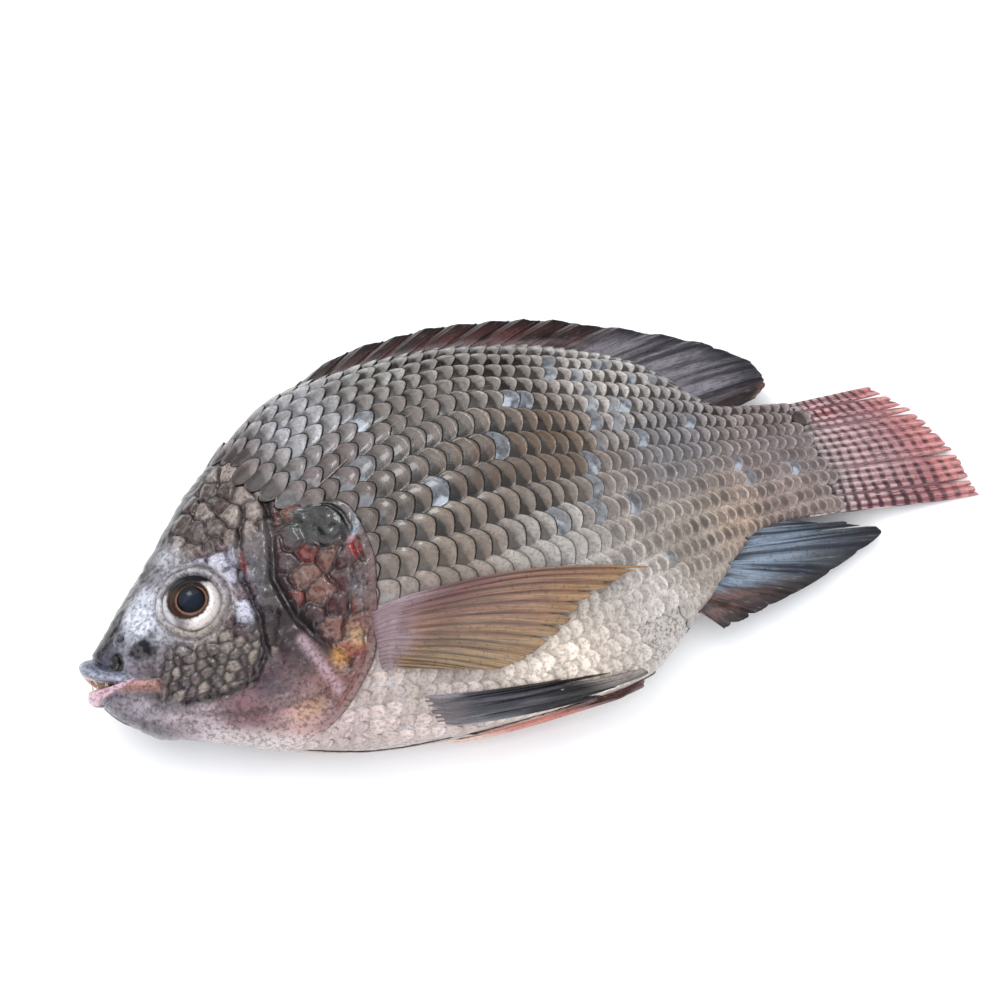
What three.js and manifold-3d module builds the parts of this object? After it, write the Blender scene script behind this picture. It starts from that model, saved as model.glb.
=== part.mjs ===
// A whole fresh Nile tilapia, uncleaned, lying on its right side. Millimetres, +Z up.
//
// The fish is described in its own anatomical coordinates:
//   a  distance along the body, from the tip of the snout (0) to the root of the tail fin
//   h  height in the fish's upright sense, positive towards the back fin
//   w  distance from the middle plane, positive towards the left flank
// settle() then lays those points down on the table: the left flank faces up, the head points
// along -X and the belly along -Y. The soft lower flank flattens where it presses on the table.
import * as THREE from 'three';
import { mergeVertices } from 'three/addons/utils/BufferGeometryUtils.js';
import Module from 'manifold-3d';

const wasm = await Module();
wasm.setup();

// ---- driving dimensions ----
const standardLength = 262; // snout to the root of the tail fin
const totalLength = 322; // snout to the end of the tail fin
const midPlaneHeight = 21.5; // middle plane above the table
const roll = THREE.MathUtils.degToRad(6); // the belly lies a little lower than the back
const droopStart = 140; // behind this the tail sinks towards the table
const droopDepth = 21; // how far the end of the tail fin has sunk
const droopPower = 1.8;
const fleshSpread = 2.5; // roundness of the edge of the flattened flank
const pieceGap = 0.4; // clearance between neighbouring pieces
const ringCount = 54;
const ringSides = 32;
const finAcross = 12; // strips across a fin's rays
const finAlong = 6; // strips along a fin's rays

// a, top outline, bottom outline, half width, height of the widest line
const bodyStations = [
  [0, -4, -4, 0, -4],
  [2, 1.5, -11, 4.5, -5],
  [8, 8, -20, 8.5, -6],
  [16, 16, -27, 11.5, -5.5],
  [30, 30.5, -34, 15.5, -4],
  [50, 51.5, -42.5, 19, -2],
  [70, 66.5, -50.5, 22, 0],
  [85, 75, -55, 24, 2],
  [100, 77.5, -57.5, 25.5, 4],
  [120, 78.5, -59.5, 26.5, 5],
  [145, 77, -60.5, 26, 5],
  [165, 73, -60.5, 24, 4.5],
  [180, 69, -58.5, 21.5, 4],
  [192, 64.5, -52, 18.5, 4],
  [203, 59.5, -43, 15.5, 5],
  [212, 54.5, -36, 13, 5],
  [221, 47, -28.5, 10.8, 5],
  [229, 37, -22, 9.2, 5],
  [237, 30, -18, 8, 4],
  [248, 27, -17, 6.6, 4],
  [262, 25.5, -19.5, 5, 3],
];
const ridgeSharpness = 1.1; // above 1 the back is keeled, below 1 the belly is full
const bellySharpness = 0.9;

const eye = { a: 41.5, h: 6.5, w: 13, radius: 11, depth: 7.5 };
const mouth = { depth: 13, gapeTop: -2.5, gapeBottom: -7.5, corner: -10.2, cornerGape: 0.5 };

// Each ray of a fin runs from its root to its tip: share across the fin, root (a, h), tip (a, h).
const dorsalRays = [
  [0.0, 80, 89, 79.5],
  [0.12, 100, 122, 89.5],
  [0.25, 120, 144, 89.5],
  [0.4, 145, 170, 86],
  [0.53, 165, 191, 81],
  [0.64, 182, 208, 74.5],
  [0.75, 200, 230, 65],
  [0.83, 212, 246, 57],
  [0.89, 222, 259, 46.5],
  [0.94, 230, 262, 38.5],
  [1.0, 239, 256, 32],
];
const analRays = [
  [0.0, 203, 217, -49.5],
  [0.2, 210, 237, -47],
  [0.4, 217, 259, -41],
  [0.6, 223, 280, -31],
  [0.8, 229, 273, -27],
  [1.0, 236, 259, -22],
];
const tailRays = [
  [0.0, 262.5, 24.5, 299, 25],
  [0.25, 264.5, 14, 311, 12.5],
  [0.5, 265.5, 3, 318, -1],
  [0.75, 264.5, -8, 322, -14],
  [1.0, 262.5, -18.5, 322, -26],
];
const pectoralRays = [
  [0.0, 100, -16, 191, -28],
  [0.12, 100, -18.5, 183, -31],
  [0.3, 99.5, -22, 165, -36],
  [0.5, 99, -26, 149, -41],
  [0.75, 98.5, -31, 136, -45.5],
  [1.0, 98, -35, 123, -46.5],
];
// share across the fin, root a, root angle round the body, tip a, tip angle, in degrees
const pelvicRays = [
  [0.0, 106, -55, 150, -63],
  [0.35, 107, -60, 178, -71],
  [0.6, 108, -66, 184, -76],
  [1.0, 109, -72, 160, -82],
];

// ---- curves ----
// A smooth curve through the points that never overshoots between them.
function curveThrough(xs, ys) {
  const slopes = xs.slice(1).map((x, i) => (ys[i + 1] - ys[i]) / (x - xs[i]));
  const tangents = xs.map((_, i) => {
    if (i === 0) return slopes[0];
    if (i === slopes.length) return slopes[i - 1];
    if (slopes[i - 1] * slopes[i] <= 0) return 0;
    return (2 * slopes[i - 1] * slopes[i]) / (slopes[i - 1] + slopes[i]);
  });
  return (x) => {
    let i = 0;
    while (i < xs.length - 2 && x > xs[i + 1]) i++;
    const width = xs[i + 1] - xs[i];
    const t = Math.min(Math.max((x - xs[i]) / width, 0), 1);
    const rest = 1 - t;
    return (
      ys[i] * rest * rest * (1 + 2 * t) +
      ys[i + 1] * t * t * (3 - 2 * t) +
      width * t * rest * (tangents[i] * rest - tangents[i + 1] * t)
    );
  };
}

// One curve for each column of a table, against its first column.
function columns(table, along = (x) => x) {
  const xs = table.map((row) => along(row[0]));
  return table[0].slice(1).map((_, k) => {
    const curve = curveThrough(xs, table.map((row) => row[k + 1]));
    return (x) => curve(along(x));
  });
}

// The square root of the distance makes the snout blunt and not a spike.
const [topAt, bottomAt, halfWidthAt, widestAt] = columns(bodyStations, Math.sqrt);

// ---- how the fish lies ----
const droopAt = (a) =>
  droopDepth * (Math.max(a - droopStart, 0) / (totalLength - droopStart)) ** droopPower;

// Keeps z above the floor, with a smooth bend where it starts to press on it.
function pressOn(z, floor) {
  if (z <= floor - fleshSpread) return floor;
  if (z >= floor + fleshSpread) return z;
  return floor + (z - floor + fleshSpread) ** 2 / (4 * fleshSpread);
}

function settle(a, h, w, floor) {
  const y = h * Math.cos(roll) - w * Math.sin(roll);
  const z = midPlaneHeight + h * Math.sin(roll) + w * Math.cos(roll) - droopAt(a);
  return new THREE.Vector3(a, y, pressOn(z, floor));
}

// ---- body ----
// Angle 0 is the left flank, 90 degrees the back, -90 the belly and 180 the right flank.
function bodyPoint(a, angle) {
  const side = Math.cos(angle);
  const up = Math.sin(angle);
  const reach = up > 0 ? topAt(a) - widestAt(a) : widestAt(a) - bottomAt(a);
  const sharpness = up > 0 ? ridgeSharpness : bellySharpness;
  const w = halfWidthAt(a) * Math.sign(side) * Math.abs(side) ** sharpness;
  return { a, h: widestAt(a) + reach * up, w };
}

// The half width of the body at one height.
function flankAt(a, h) {
  const reach = h > widestAt(a) ? topAt(a) - widestAt(a) : widestAt(a) - bottomAt(a);
  const sharpness = h > widestAt(a) ? ridgeSharpness : bellySharpness;
  const up = Math.min(Math.abs(h - widestAt(a)) / reach, 1);
  return halfWidthAt(a) * (1 - up * up) ** (sharpness / 2);
}

// The right breast fin is pressed between the flank and the table, in a hollow of its own depth.
const hollow = { a: 141, h: -31, halfLength: 62, halfHeight: 24, tilt: -0.16, depth: 2.4 };
function hollowAt(a, h) {
  const along = (a - hollow.a) / hollow.halfLength;
  const across = (h - hollow.h - hollow.tilt * (a - hollow.a)) / hollow.halfHeight;
  const inside = 1 - Math.hypot(along, across);
  return hollow.depth * THREE.MathUtils.smoothstep(inside, 0, 0.2);
}

function closedMesh(points, faces) {
  const geometry = new THREE.BufferGeometry();
  geometry.setAttribute(
    'position',
    new THREE.Float32BufferAttribute(points.flatMap((p) => p.toArray()), 3),
  );
  let volume = 0;
  for (const [i, j, k] of faces) {
    volume += points[i].dot(points[j].clone().cross(points[k]));
  }
  const outwards = volume > 0 ? faces : faces.map(([i, j, k]) => [i, k, j]);
  geometry.setIndex(outwards.flat());
  return geometry;
}

// Joins rings of points, closed at both ends by one point each.
function loft(rings, first, last) {
  const sides = rings[0].length;
  const points = [first, ...rings.flat(), last];
  const at = (ring, side) => 1 + ring * sides + (side % sides);
  const faces = [];
  for (let side = 0; side < sides; side++) {
    faces.push([0, at(0, side + 1), at(0, side)]);
    faces.push([points.length - 1, at(rings.length - 1, side), at(rings.length - 1, side + 1)]);
    for (let ring = 0; ring < rings.length - 1; ring++) {
      faces.push([at(ring, side), at(ring, side + 1), at(ring + 1, side + 1)]);
      faces.push([at(ring, side), at(ring + 1, side + 1), at(ring + 1, side)]);
    }
  }
  return closedMesh(points, faces);
}

function bodyGeometry() {
  const rings = [];
  for (let ring = 1; ring <= ringCount; ring++) {
    const a = standardLength * (ring / ringCount) ** 1.35;
    rings.push(
      Array.from({ length: ringSides }, (_, side) => {
        const p = bodyPoint(a, (2 * Math.PI * side) / ringSides);
        return settle(p.a, p.h, p.w, p.w < 0 ? hollowAt(p.a, p.h) : 0);
      }),
    );
  }
  const snout = bodyPoint(0, 0);
  return loft(
    rings,
    settle(0, snout.h, 0, 0),
    settle(standardLength, widestAt(standardLength), 0, 0),
  );
}

// ---- joining and cutting ----
function solidOf(geometry) {
  const bare = geometry.clone();
  bare.deleteAttribute('normal');
  bare.deleteAttribute('uv');
  const merged = mergeVertices(bare);
  return new wasm.Manifold(
    new wasm.Mesh({
      numProp: 3,
      vertProperties: Float32Array.from(merged.attributes.position.array),
      triVerts: Uint32Array.from(merged.index.array),
    }),
  );
}

function geometryOf(solid) {
  const mesh = solid.getMesh();
  const geometry = new THREE.BufferGeometry();
  geometry.setAttribute('position', new THREE.BufferAttribute(mesh.vertProperties, 3));
  geometry.setIndex(new THREE.BufferAttribute(mesh.triVerts, 1));
  return geometry;
}

// ---- eyes ----
function eyeball(side, growth) {
  const geometry = new THREE.SphereGeometry(1, 24, 14);
  geometry.scale(eye.radius + growth, eye.radius + growth, eye.depth + growth);
  geometry.rotateX(roll);
  const centre = settle(eye.a, eye.h, side * eye.w, -eye.depth);
  return geometry.translate(centre.x, centre.y, centre.z);
}

// ---- mouth ----
// A wedge through the snout, open at the front and closing at the corners of the mouth.
function mouthWedge() {
  const outline = new THREE.Shape();
  outline.moveTo(-4, mouth.gapeTop);
  outline.lineTo(mouth.depth, mouth.corner + mouth.cornerGape);
  outline.lineTo(mouth.depth, mouth.corner - mouth.cornerGape);
  outline.lineTo(-4, mouth.gapeBottom);
  outline.closePath();
  const width = 40;
  const geometry = new THREE.ExtrudeGeometry(outline, { depth: width, bevelEnabled: false });
  geometry.translate(0, 0, -width / 2);
  geometry.rotateX(roll);
  return geometry.translate(0, 0, midPlaneHeight);
}

// ---- fins ----
// A fin is a thin sheet: middle(across, along) gives its middle surface, thickness(along) its
// thickness, and both faces are offset from it along its own normal.
function finGeometry(middle, thickness) {
  const step = 1e-3;
  const faceUp = [];
  const faceDown = [];
  for (let i = 0; i <= finAcross; i++) {
    for (let j = 0; j <= finAlong; j++) {
      const s = i / finAcross;
      const t = j / finAlong;
      const across = middle(Math.min(s + step, 1), t).sub(middle(Math.max(s - step, 0), t));
      const along = middle(s, Math.min(t + step, 1)).sub(middle(s, Math.max(t - step, 0)));
      const normal = across.cross(along).normalize();
      if (normal.z < 0) normal.negate();
      const half = thickness(t) / 2;
      const centre = middle(s, t);
      faceUp.push(centre.clone().addScaledVector(normal, half));
      const low = centre.clone().addScaledVector(normal, -half);
      low.z = Math.max(low.z, 0);
      faceDown.push(low);
    }
  }
  const count = faceUp.length;
  const at = (i, j) => i * (finAlong + 1) + j;
  const faces = [];
  const quad = (p, q, r, s) => faces.push([p, q, r], [p, r, s]);
  for (let i = 0; i < finAcross; i++) {
    for (let j = 0; j < finAlong; j++) {
      quad(at(i, j), at(i + 1, j), at(i + 1, j + 1), at(i, j + 1));
      quad(
        count + at(i, j),
        count + at(i, j + 1),
        count + at(i + 1, j + 1),
        count + at(i + 1, j),
      );
    }
    quad(at(i, 0), count + at(i, 0), count + at(i + 1, 0), at(i + 1, 0));
    const j = finAlong;
    quad(at(i, j), at(i + 1, j), count + at(i + 1, j), count + at(i, j));
  }
  for (let j = 0; j < finAlong; j++) {
    quad(at(0, j), at(0, j + 1), count + at(0, j + 1), count + at(0, j));
    const i = finAcross;
    quad(at(i, j), count + at(i, j), count + at(i, j + 1), at(i, j + 1));
  }
  return closedMesh([...faceUp, ...faceDown], faces);
}

const mix = (from, to, share) => from + (to - from) * share;
const finFloor = 0.6; // a fin's middle surface lies this far above the table at the least

// Fins in the middle plane, which hang towards the table at their free edge.
function medianFin(rays, rootHeight, sag, thickness) {
  const [rootA, rootH, tipA, tipH] = columns(rays);
  return finGeometry(
    (s, t) => {
      const h = mix(rootHeight(rootA(s), rootH(s)), tipH(s), t);
      return settle(mix(rootA(s), tipA(s), t), h, -sag * t * t, finFloor);
    },
    thickness,
  );
}

// The back and belly fins' roots follow the body's outline, so their tables leave the root's h out.
const withRootHeight = (rays, outline) =>
  rays.map(([s, a, tipA, tipH]) => [s, a, outline(a), tipA, tipH]);

// A breast fin lies back along the flank, just clear of it.
function pectoralFin(side) {
  const [rootA, rootH, tipA, tipH] = columns(pectoralRays);
  const thickness = (t) => mix(2, 1, t);
  return finGeometry((s, t) => {
    const a = mix(rootA(s), tipA(s), t);
    const h = mix(rootH(s), tipH(s), t);
    const lift = pieceGap + 1.2 + thickness(t) / 2;
    return settle(a, h, side * (flankAt(a, h) + lift), finFloor);
  }, (t) => (side > 0 ? thickness(t) : 2 * finFloor));
}

// A belly fin lies back along the underside of the belly, just clear of it. The one on the lower
// side is turned in towards the keel, where there is room for it above the table.
function pelvicFin(side, turn) {
  const [rootA, rootAngle, tipA, tipAngle] = columns(pelvicRays);
  const thickness = (t) => mix(2, 1, t);
  return finGeometry((s, t) => {
    const a = mix(rootA(s), tipA(s), t);
    const angle = THREE.MathUtils.degToRad(mix(rootAngle(s), tipAngle(s), t) - turn);
    const p = bodyPoint(a, angle);
    const lift = pieceGap + 0.7 + thickness(t) / 2;
    const h = p.h + lift * Math.sin(angle);
    return settle(a, h, side * (p.w + lift * Math.cos(angle)), finFloor);
  }, thickness);
}

// ---- assembly ----
const fish = new THREE.Group();
function addPiece(name, geometry, colour, roughness) {
  const material = new THREE.MeshStandardMaterial({ color: colour, roughness, metalness: 0 });
  const mesh = new THREE.Mesh(geometry, material);
  mesh.name = name;
  fish.add(mesh);
}

let body = solidOf(bodyGeometry());
for (const cutter of [eyeball(1, pieceGap), eyeball(-1, pieceGap), mouthWedge()]) {
  body = body.subtract(solidOf(cutter));
}
addPiece('body', geometryOf(body), 0x8f867c, 0.35);
addPiece('left_eye', eyeball(1, 0), 0x1b2430, 0.1);
addPiece('right_eye', eyeball(-1, 0), 0x1b2430, 0.1);

const rootClearance = 1; // lets the flat strips of a fin's root clear the round back and belly
const clearTop = (a) => topAt(a) + rootClearance;
const clearBottom = (a) => bottomAt(a) - rootClearance;
const keepRoot = (a, h) => h;
const spineThickness = (t) => mix(2.6, 1.2, t);
addPiece(
  'dorsal_fin',
  medianFin(withRootHeight(dorsalRays, clearTop), keepRoot, 5, spineThickness),
  0x5b4a47,
  0.5,
);
addPiece(
  'anal_fin',
  medianFin(withRootHeight(analRays, clearBottom), keepRoot, 2, spineThickness),
  0x4a5566,
  0.45,
);
addPiece('tail_fin', medianFin(tailRays, keepRoot, 0, (t) => mix(5, 1.2, t)), 0x9a4f52, 0.45);
addPiece('left_pectoral_fin', pectoralFin(1), 0x9c7352, 0.4);
addPiece('right_pectoral_fin', pectoralFin(-1), 0x9c7352, 0.4);
addPiece('left_pelvic_fin', pelvicFin(1, 0), 0x33353b, 0.45);
addPiece('right_pelvic_fin', pelvicFin(-1, 8), 0x8f5b55, 0.45);

// The origin is on the table, under the middle of the whole fish.
const bounds = new THREE.Box3().setFromObject(fish);
const middle = bounds.getCenter(new THREE.Vector3());
fish.position.set(-middle.x, -middle.y, -bounds.min.z);

export default fish;
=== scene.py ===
import math

import bpy
import numpy as np
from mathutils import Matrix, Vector


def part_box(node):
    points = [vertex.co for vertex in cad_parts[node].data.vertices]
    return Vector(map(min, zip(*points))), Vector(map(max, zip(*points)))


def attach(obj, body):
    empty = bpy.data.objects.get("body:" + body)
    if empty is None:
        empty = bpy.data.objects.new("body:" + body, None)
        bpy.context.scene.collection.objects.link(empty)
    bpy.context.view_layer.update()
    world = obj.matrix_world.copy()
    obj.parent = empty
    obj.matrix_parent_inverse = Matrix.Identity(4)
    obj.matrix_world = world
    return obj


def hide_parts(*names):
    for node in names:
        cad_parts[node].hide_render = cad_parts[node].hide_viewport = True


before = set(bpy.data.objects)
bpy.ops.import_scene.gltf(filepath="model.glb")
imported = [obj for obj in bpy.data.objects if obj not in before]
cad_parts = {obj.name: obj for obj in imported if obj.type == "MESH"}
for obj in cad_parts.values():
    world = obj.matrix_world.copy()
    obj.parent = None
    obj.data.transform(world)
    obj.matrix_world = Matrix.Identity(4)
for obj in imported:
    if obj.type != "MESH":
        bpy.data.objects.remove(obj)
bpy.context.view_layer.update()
mm = 0.001

# The fish is worked out in millimetres from its snout: a runs to the tail, h up to the back,
# w out of its left flank. It lies on its right flank, so w points up.
fish = {
    "standardLength": 262.0,
    "totalLength": 322.0,
    "midPlane": 21.5,  # height of its middle plane above the table
    "roll": math.radians(6),  # the back lies a little higher than the belly
    "droopStart": 140.0,
    "droopDepth": 21.0,
    "droopPower": 1.8,
    "press": 2.5,  # width of the bend where flesh meets the table
    "ridgeSharpness": 1.1,
    "bellySharpness": 0.9,
}

# a, back outline, belly outline, half width, height of the widest line
bodyStations = [
    (0, -4, -4, 0, -4), (2, 1.5, -11, 4.5, -5), (8, 8, -20, 8.5, -6), (16, 16, -27, 11.5, -5.5),
    (30, 30.5, -34, 15.5, -4), (50, 51.5, -42.5, 19, -2), (70, 66.5, -50.5, 22, 0),
    (85, 75, -55, 24, 2), (100, 77.5, -57.5, 25.5, 4), (120, 78.5, -59.5, 26.5, 5),
    (145, 77, -60.5, 26, 5), (165, 73, -60.5, 24, 4.5), (180, 69, -58.5, 21.5, 4),
    (192, 64.5, -52, 18.5, 4), (203, 59.5, -43, 15.5, 5), (212, 54.5, -36, 13, 5),
    (221, 47, -28.5, 10.8, 5), (229, 37, -22, 9.2, 5), (237, 30, -18, 8, 4),
    (248, 27, -17, 6.6, 4), (262, 25.5, -19.5, 5, 3), (278, 25, -21, 3, 2),
]
eye = {"a": 41.5, "h": 6.5, "w": 13.0, "radius": 11.0, "depth": 7.5, "opening": 9.6}


def stage(words):
    print("tilapia:", words)


# curves, colours and grain
def curveThrough(xs, ys):  # a smooth curve that never overshoots its points
    xs, ys = np.array(xs, float), np.array(ys, float)
    width = np.diff(xs)
    slope = np.diff(ys) / width
    tangent = np.concatenate([slope[:1], np.zeros(len(xs) - 2), slope[-1:]])
    for i in range(1, len(xs) - 1):
        if slope[i - 1] * slope[i] > 0:
            tangent[i] = 2 * slope[i - 1] * slope[i] / (slope[i - 1] + slope[i])

    def curve(x):
        x = np.asarray(x, float)
        i = np.clip(np.searchsorted(xs, x, side="right") - 1, 0, len(xs) - 2)
        t = np.clip((x - xs[i]) / width[i], 0, 1)
        rest = 1 - t
        ends = ys[i] * rest * rest * (1 + 2 * t) + ys[i + 1] * t * t * (3 - 2 * t)
        return ends + width[i] * t * rest * (tangent[i] * rest - tangent[i + 1] * t)

    return curve


def columns(table, along=np.asarray):  # a curve for each column of a table, over its first column
    xs = [along(row[0]) for row in table]

    def curveOf(k):
        curve = curveThrough(xs, [row[k] for row in table])

        def at(x):
            return curve(along(np.asarray(x, float)))

        return at

    return [curveOf(k) for k in range(1, len(table[0]))]


def mix(start, end, share):
    return start + (end - start) * share


def smooth(x, low=0.0, high=1.0):
    t = np.clip((x - low) / (high - low), 0, 1)
    return t * t * (3 - 2 * t)


def bump(x):  # a smooth hill, 1 at the middle and 0 from 1 outwards
    return np.where(np.abs(x) < 1, np.cos(np.clip(x, -1, 1) * math.pi / 2) ** 2, 0)


def awayFrom(a, h, spot):
    # distance from a spot's middle, 1 at its edge; a spot is its a and h, and its reach along both
    return np.hypot((a - spot[0]) / spot[2], (h - spot[1]) / spot[3])


def colour(words):  # "8a7f78" as linear red, green, blue
    part = np.array([int(words[i:i + 2], 16) for i in (0, 2, 4)]) / 255
    return np.where(part <= 0.04045, part / 12.92, ((part + 0.055) / 1.055) ** 2.4)


def scatter(column, row, seed):  # a random number for each cell of a grid, from 0 to 1
    value = np.sin(column * 127.1 + row * 311.7 + seed * 74.7) * 43758.5453
    return value - np.floor(value)


def grain(a, h, size, seed):  # soft noise over the flank, from -1 to 1
    x, y = np.asarray(a, float) / size + 31.7 * seed, np.asarray(h, float) / size + 17.3 * seed
    left, low = np.floor(x), np.floor(y)
    fx, fy = smooth(x - left), smooth(y - low)
    lower = mix(scatter(left, low, seed), scatter(left + 1, low, seed), fx)
    upper = mix(scatter(left, low + 1, seed), scatter(left + 1, low + 1, seed), fx)
    return 2 * mix(lower, upper, fy) - 1


def plates(a, h, size, stretch, seed):
    # irregular plates: distance to the nearest border, place along the plate, a random number for each
    x, y = np.asarray(a, float) / size + 50, np.asarray(h, float) / (size * stretch) + 50
    column, row = np.floor(x), np.floor(y)
    reach, along, chance = [], [], []
    for i in (-1, 0, 1):
        for j in (-1, 0, 1):
            cell = (column + i, row + j)
            seatX = cell[0] + 0.5 + 0.6 * (scatter(*cell, seed) - 0.5) + 0.2 * (2 * (cell[1] % 2) - 1)
            seatY = cell[1] + 0.5 + 0.6 * (scatter(*cell, seed + 9) - 0.5)
            reach.append(np.hypot(x - seatX, y - seatY))
            along.append((x - seatX) * size)
            chance.append(scatter(*cell, seed + 5))
    reach, along, chance = np.stack(reach), np.stack(along), np.stack(chance)
    order = np.argsort(reach, 0)[:2]
    first, second = (np.take_along_axis(reach, order[k:k + 1], 0)[0] for k in (0, 1))
    mine = [np.take_along_axis(values, order[:1], 0)[0] for values in (along, chance)]
    return (second - first) * size * 0.5, mine[0], mine[1]


def blendTones(tones, a, h, power=3.0):
    a, h = np.asarray(a, float), np.asarray(h, float)
    total = np.zeros(a.shape + (3,))
    weights = np.zeros(a.shape)
    for toneA, toneH, words in tones.values():
        weight = 1 / ((a - toneA) ** 2 + (h - toneH) ** 2 + 9) ** (power / 2)
        total += weight[..., None] * colour(words)
        weights += weight
    return total / weights[..., None]


def paint(base, words, mask):
    return mix(base, colour(words), np.asarray(mask)[..., None])


# how the fish lies
topAt, bottomAt, halfWidthAt, widestAt = columns(bodyStations, np.sqrt)


def droopAt(a):
    length = fish["totalLength"] - fish["droopStart"]
    return fish["droopDepth"] * (np.maximum(a - fish["droopStart"], 0) / length) ** fish["droopPower"]


def pressOn(z, floor):
    bend = fish["press"]
    soft = floor + (z - floor + bend) ** 2 / (4 * bend)
    return np.where(z <= floor - bend, floor, np.where(z >= floor + bend, z, soft))


def settleBare(a, h, w, floor):
    a, h, w, floor = np.broadcast_arrays(*(np.asarray(v, float) for v in (a, h, w, floor)))
    y = h * math.cos(fish["roll"]) - w * math.sin(fish["roll"])
    z = fish["midPlane"] + h * math.sin(fish["roll"]) + w * math.cos(fish["roll"]) - droopAt(a)
    return np.stack([a, y, pressOn(z, floor)], -1)


eyeLow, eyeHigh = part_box("left_eye")
snoutShift = np.array((eyeLow + eyeHigh) / 2) / mm - settleBare(eye["a"], eye["h"], eye["w"], -99)


def settle(a, h, w, floor=0.0):
    return (settleBare(a, h, w, floor) + snoutShift) * mm


def shapeAt(a, angle):  # height and width of the skin, angle 90 degrees at the back, -90 at the belly
    up, side = np.sin(angle), np.cos(angle)
    reach = np.where(up > 0, topAt(a) - widestAt(a), widestAt(a) - bottomAt(a))
    sharp = np.where(up > 0, fish["ridgeSharpness"], fish["bellySharpness"])
    w = halfWidthAt(a) * np.sign(side) * np.abs(side) ** sharp
    return widestAt(a) + reach * up, w


def angleAt(a, h):
    reach = np.where(h > widestAt(a), topAt(a) - widestAt(a), widestAt(a) - bottomAt(a))
    return np.arcsin(np.clip((h - widestAt(a)) / np.maximum(reach, 1e-6), -1, 1))


def flankAt(a, h):
    return shapeAt(a, angleAt(a, h))[1]


# meshes
def gridFaces(rows, cols, closed=False):
    row, col = np.meshgrid(np.arange(rows - 1), np.arange(cols if closed else cols - 1), indexing="ij")
    nextCol = (col + 1) % cols
    nextRow = row + 1
    corners = [row * cols + col, nextRow * cols + col, nextRow * cols + nextCol, row * cols + nextCol]
    return np.stack(corners, -1).reshape(-1, 4)


def slopesOf(points, closed=False):  # outward normals of a grid of points
    along = np.gradient(points, axis=0)
    if closed:
        wrapped = np.concatenate([points[:, -1:], points, points[:, :1]], 1)
        across = np.gradient(wrapped, axis=1)[:, 1:-1]
    else:
        across = np.gradient(points, axis=1)
    normal = np.cross(along, across)
    return normal / np.maximum(np.linalg.norm(normal, axis=-1, keepdims=True), 1e-12)


def addAttribute(mesh, name, values):
    values = np.asarray(values, float)
    if values.ndim == 1:
        mesh.attributes.new(name, "FLOAT", "POINT").data.foreach_set("value", values)
    elif values.shape[1] == 4:
        mesh.attributes.new(name, "FLOAT_COLOR", "POINT").data.foreach_set("color", values.ravel())
    else:
        mesh.attributes.new(name, "FLOAT_VECTOR", "POINT").data.foreach_set("vector", values.ravel())


def opaque(colours):
    flat = np.clip(np.asarray(colours).reshape(-1, 3), 0, 1)
    return np.concatenate([flat, np.ones((len(flat), 1))], 1)


def makePiece(name, points, faces, attributes=(), material=None, edges=()):
    mesh = bpy.data.meshes.new(name)
    places = np.asarray(points).reshape(-1, 3).tolist()
    mesh.from_pydata(places, edges, [list(map(int, f)) for f in faces])
    for key, values in dict(attributes).items():
        addAttribute(mesh, key, values)
    if material:
        mesh.materials.append(material)
    mesh.polygons.foreach_set("use_smooth", np.ones(len(mesh.polygons), bool))
    mesh.update()
    piece = bpy.data.objects.new(name, mesh)
    bpy.context.scene.collection.objects.link(piece)
    return piece


def turnOutwards(piece):
    mesh = piece.data
    points = np.array([v.co for v in mesh.vertices])
    points -= points.mean(0)
    volume = 0.0
    mesh.calc_loop_triangles()
    for triangle in mesh.loop_triangles:
        p, q, r = (points[i] for i in triangle.vertices)
        volume += np.dot(p, np.cross(q, r))
    if volume < 0:
        mesh.flip_normals()
    return piece


def keepAbove(piece, height=0.15):
    mesh = piece.data
    points = np.zeros(len(mesh.vertices) * 3)
    mesh.vertices.foreach_get("co", points)
    points[2::3] = np.maximum(points[2::3], height * mm)
    mesh.vertices.foreach_set("co", points)
    mesh.update()


def hand(piece, node):
    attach(piece, "root")
    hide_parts(*([node] if isinstance(node, str) else node))
    return piece


# node trees
class Wire:  # an output socket that sums can be written with
    def __init__(self, tree, socket):
        self.tree, self.socket = tree, socket

    def other(self, name):
        return Wire(self.tree, self.socket.node.outputs[name])

    def sum(self, operation, first, second):
        return self.tree.make("ShaderNodeMath", {"operation": operation}, {0: first, 1: second})

    def __add__(self, value):
        return self.sum("ADD", self, value)

    def __radd__(self, value):
        return self.sum("ADD", value, self)

    def __sub__(self, value):
        return self.sum("SUBTRACT", self, value)

    def __rsub__(self, value):
        return self.sum("SUBTRACT", value, self)

    def __mul__(self, value):
        return self.sum("MULTIPLY", self, value)

    def __rmul__(self, value):
        return self.sum("MULTIPLY", value, self)


class Tree:
    def __init__(self, nodes, links):
        self.nodes, self.links = nodes, links

    def make(self, kind, settings=(), inputs=(), output=0):
        node = self.nodes.new(kind)
        for key, value in dict(settings).items():
            setattr(node, key, value)
        for key, value in dict(inputs).items():
            self.plug(value, node.inputs[key])
        enabled = [socket for socket in node.outputs if socket.enabled]
        if not enabled:
            return node
        return Wire(self, enabled[output] if isinstance(output, int) else node.outputs[output])

    def plug(self, value, socket):
        if isinstance(value, Wire):
            self.links.new(value.socket, socket)
        elif hasattr(value, "__len__") and not isinstance(value, str):
            size = len(socket.default_value)
            socket.default_value = tuple(value) + (1,) * (size - len(value))
        else:
            socket.default_value = value


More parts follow.
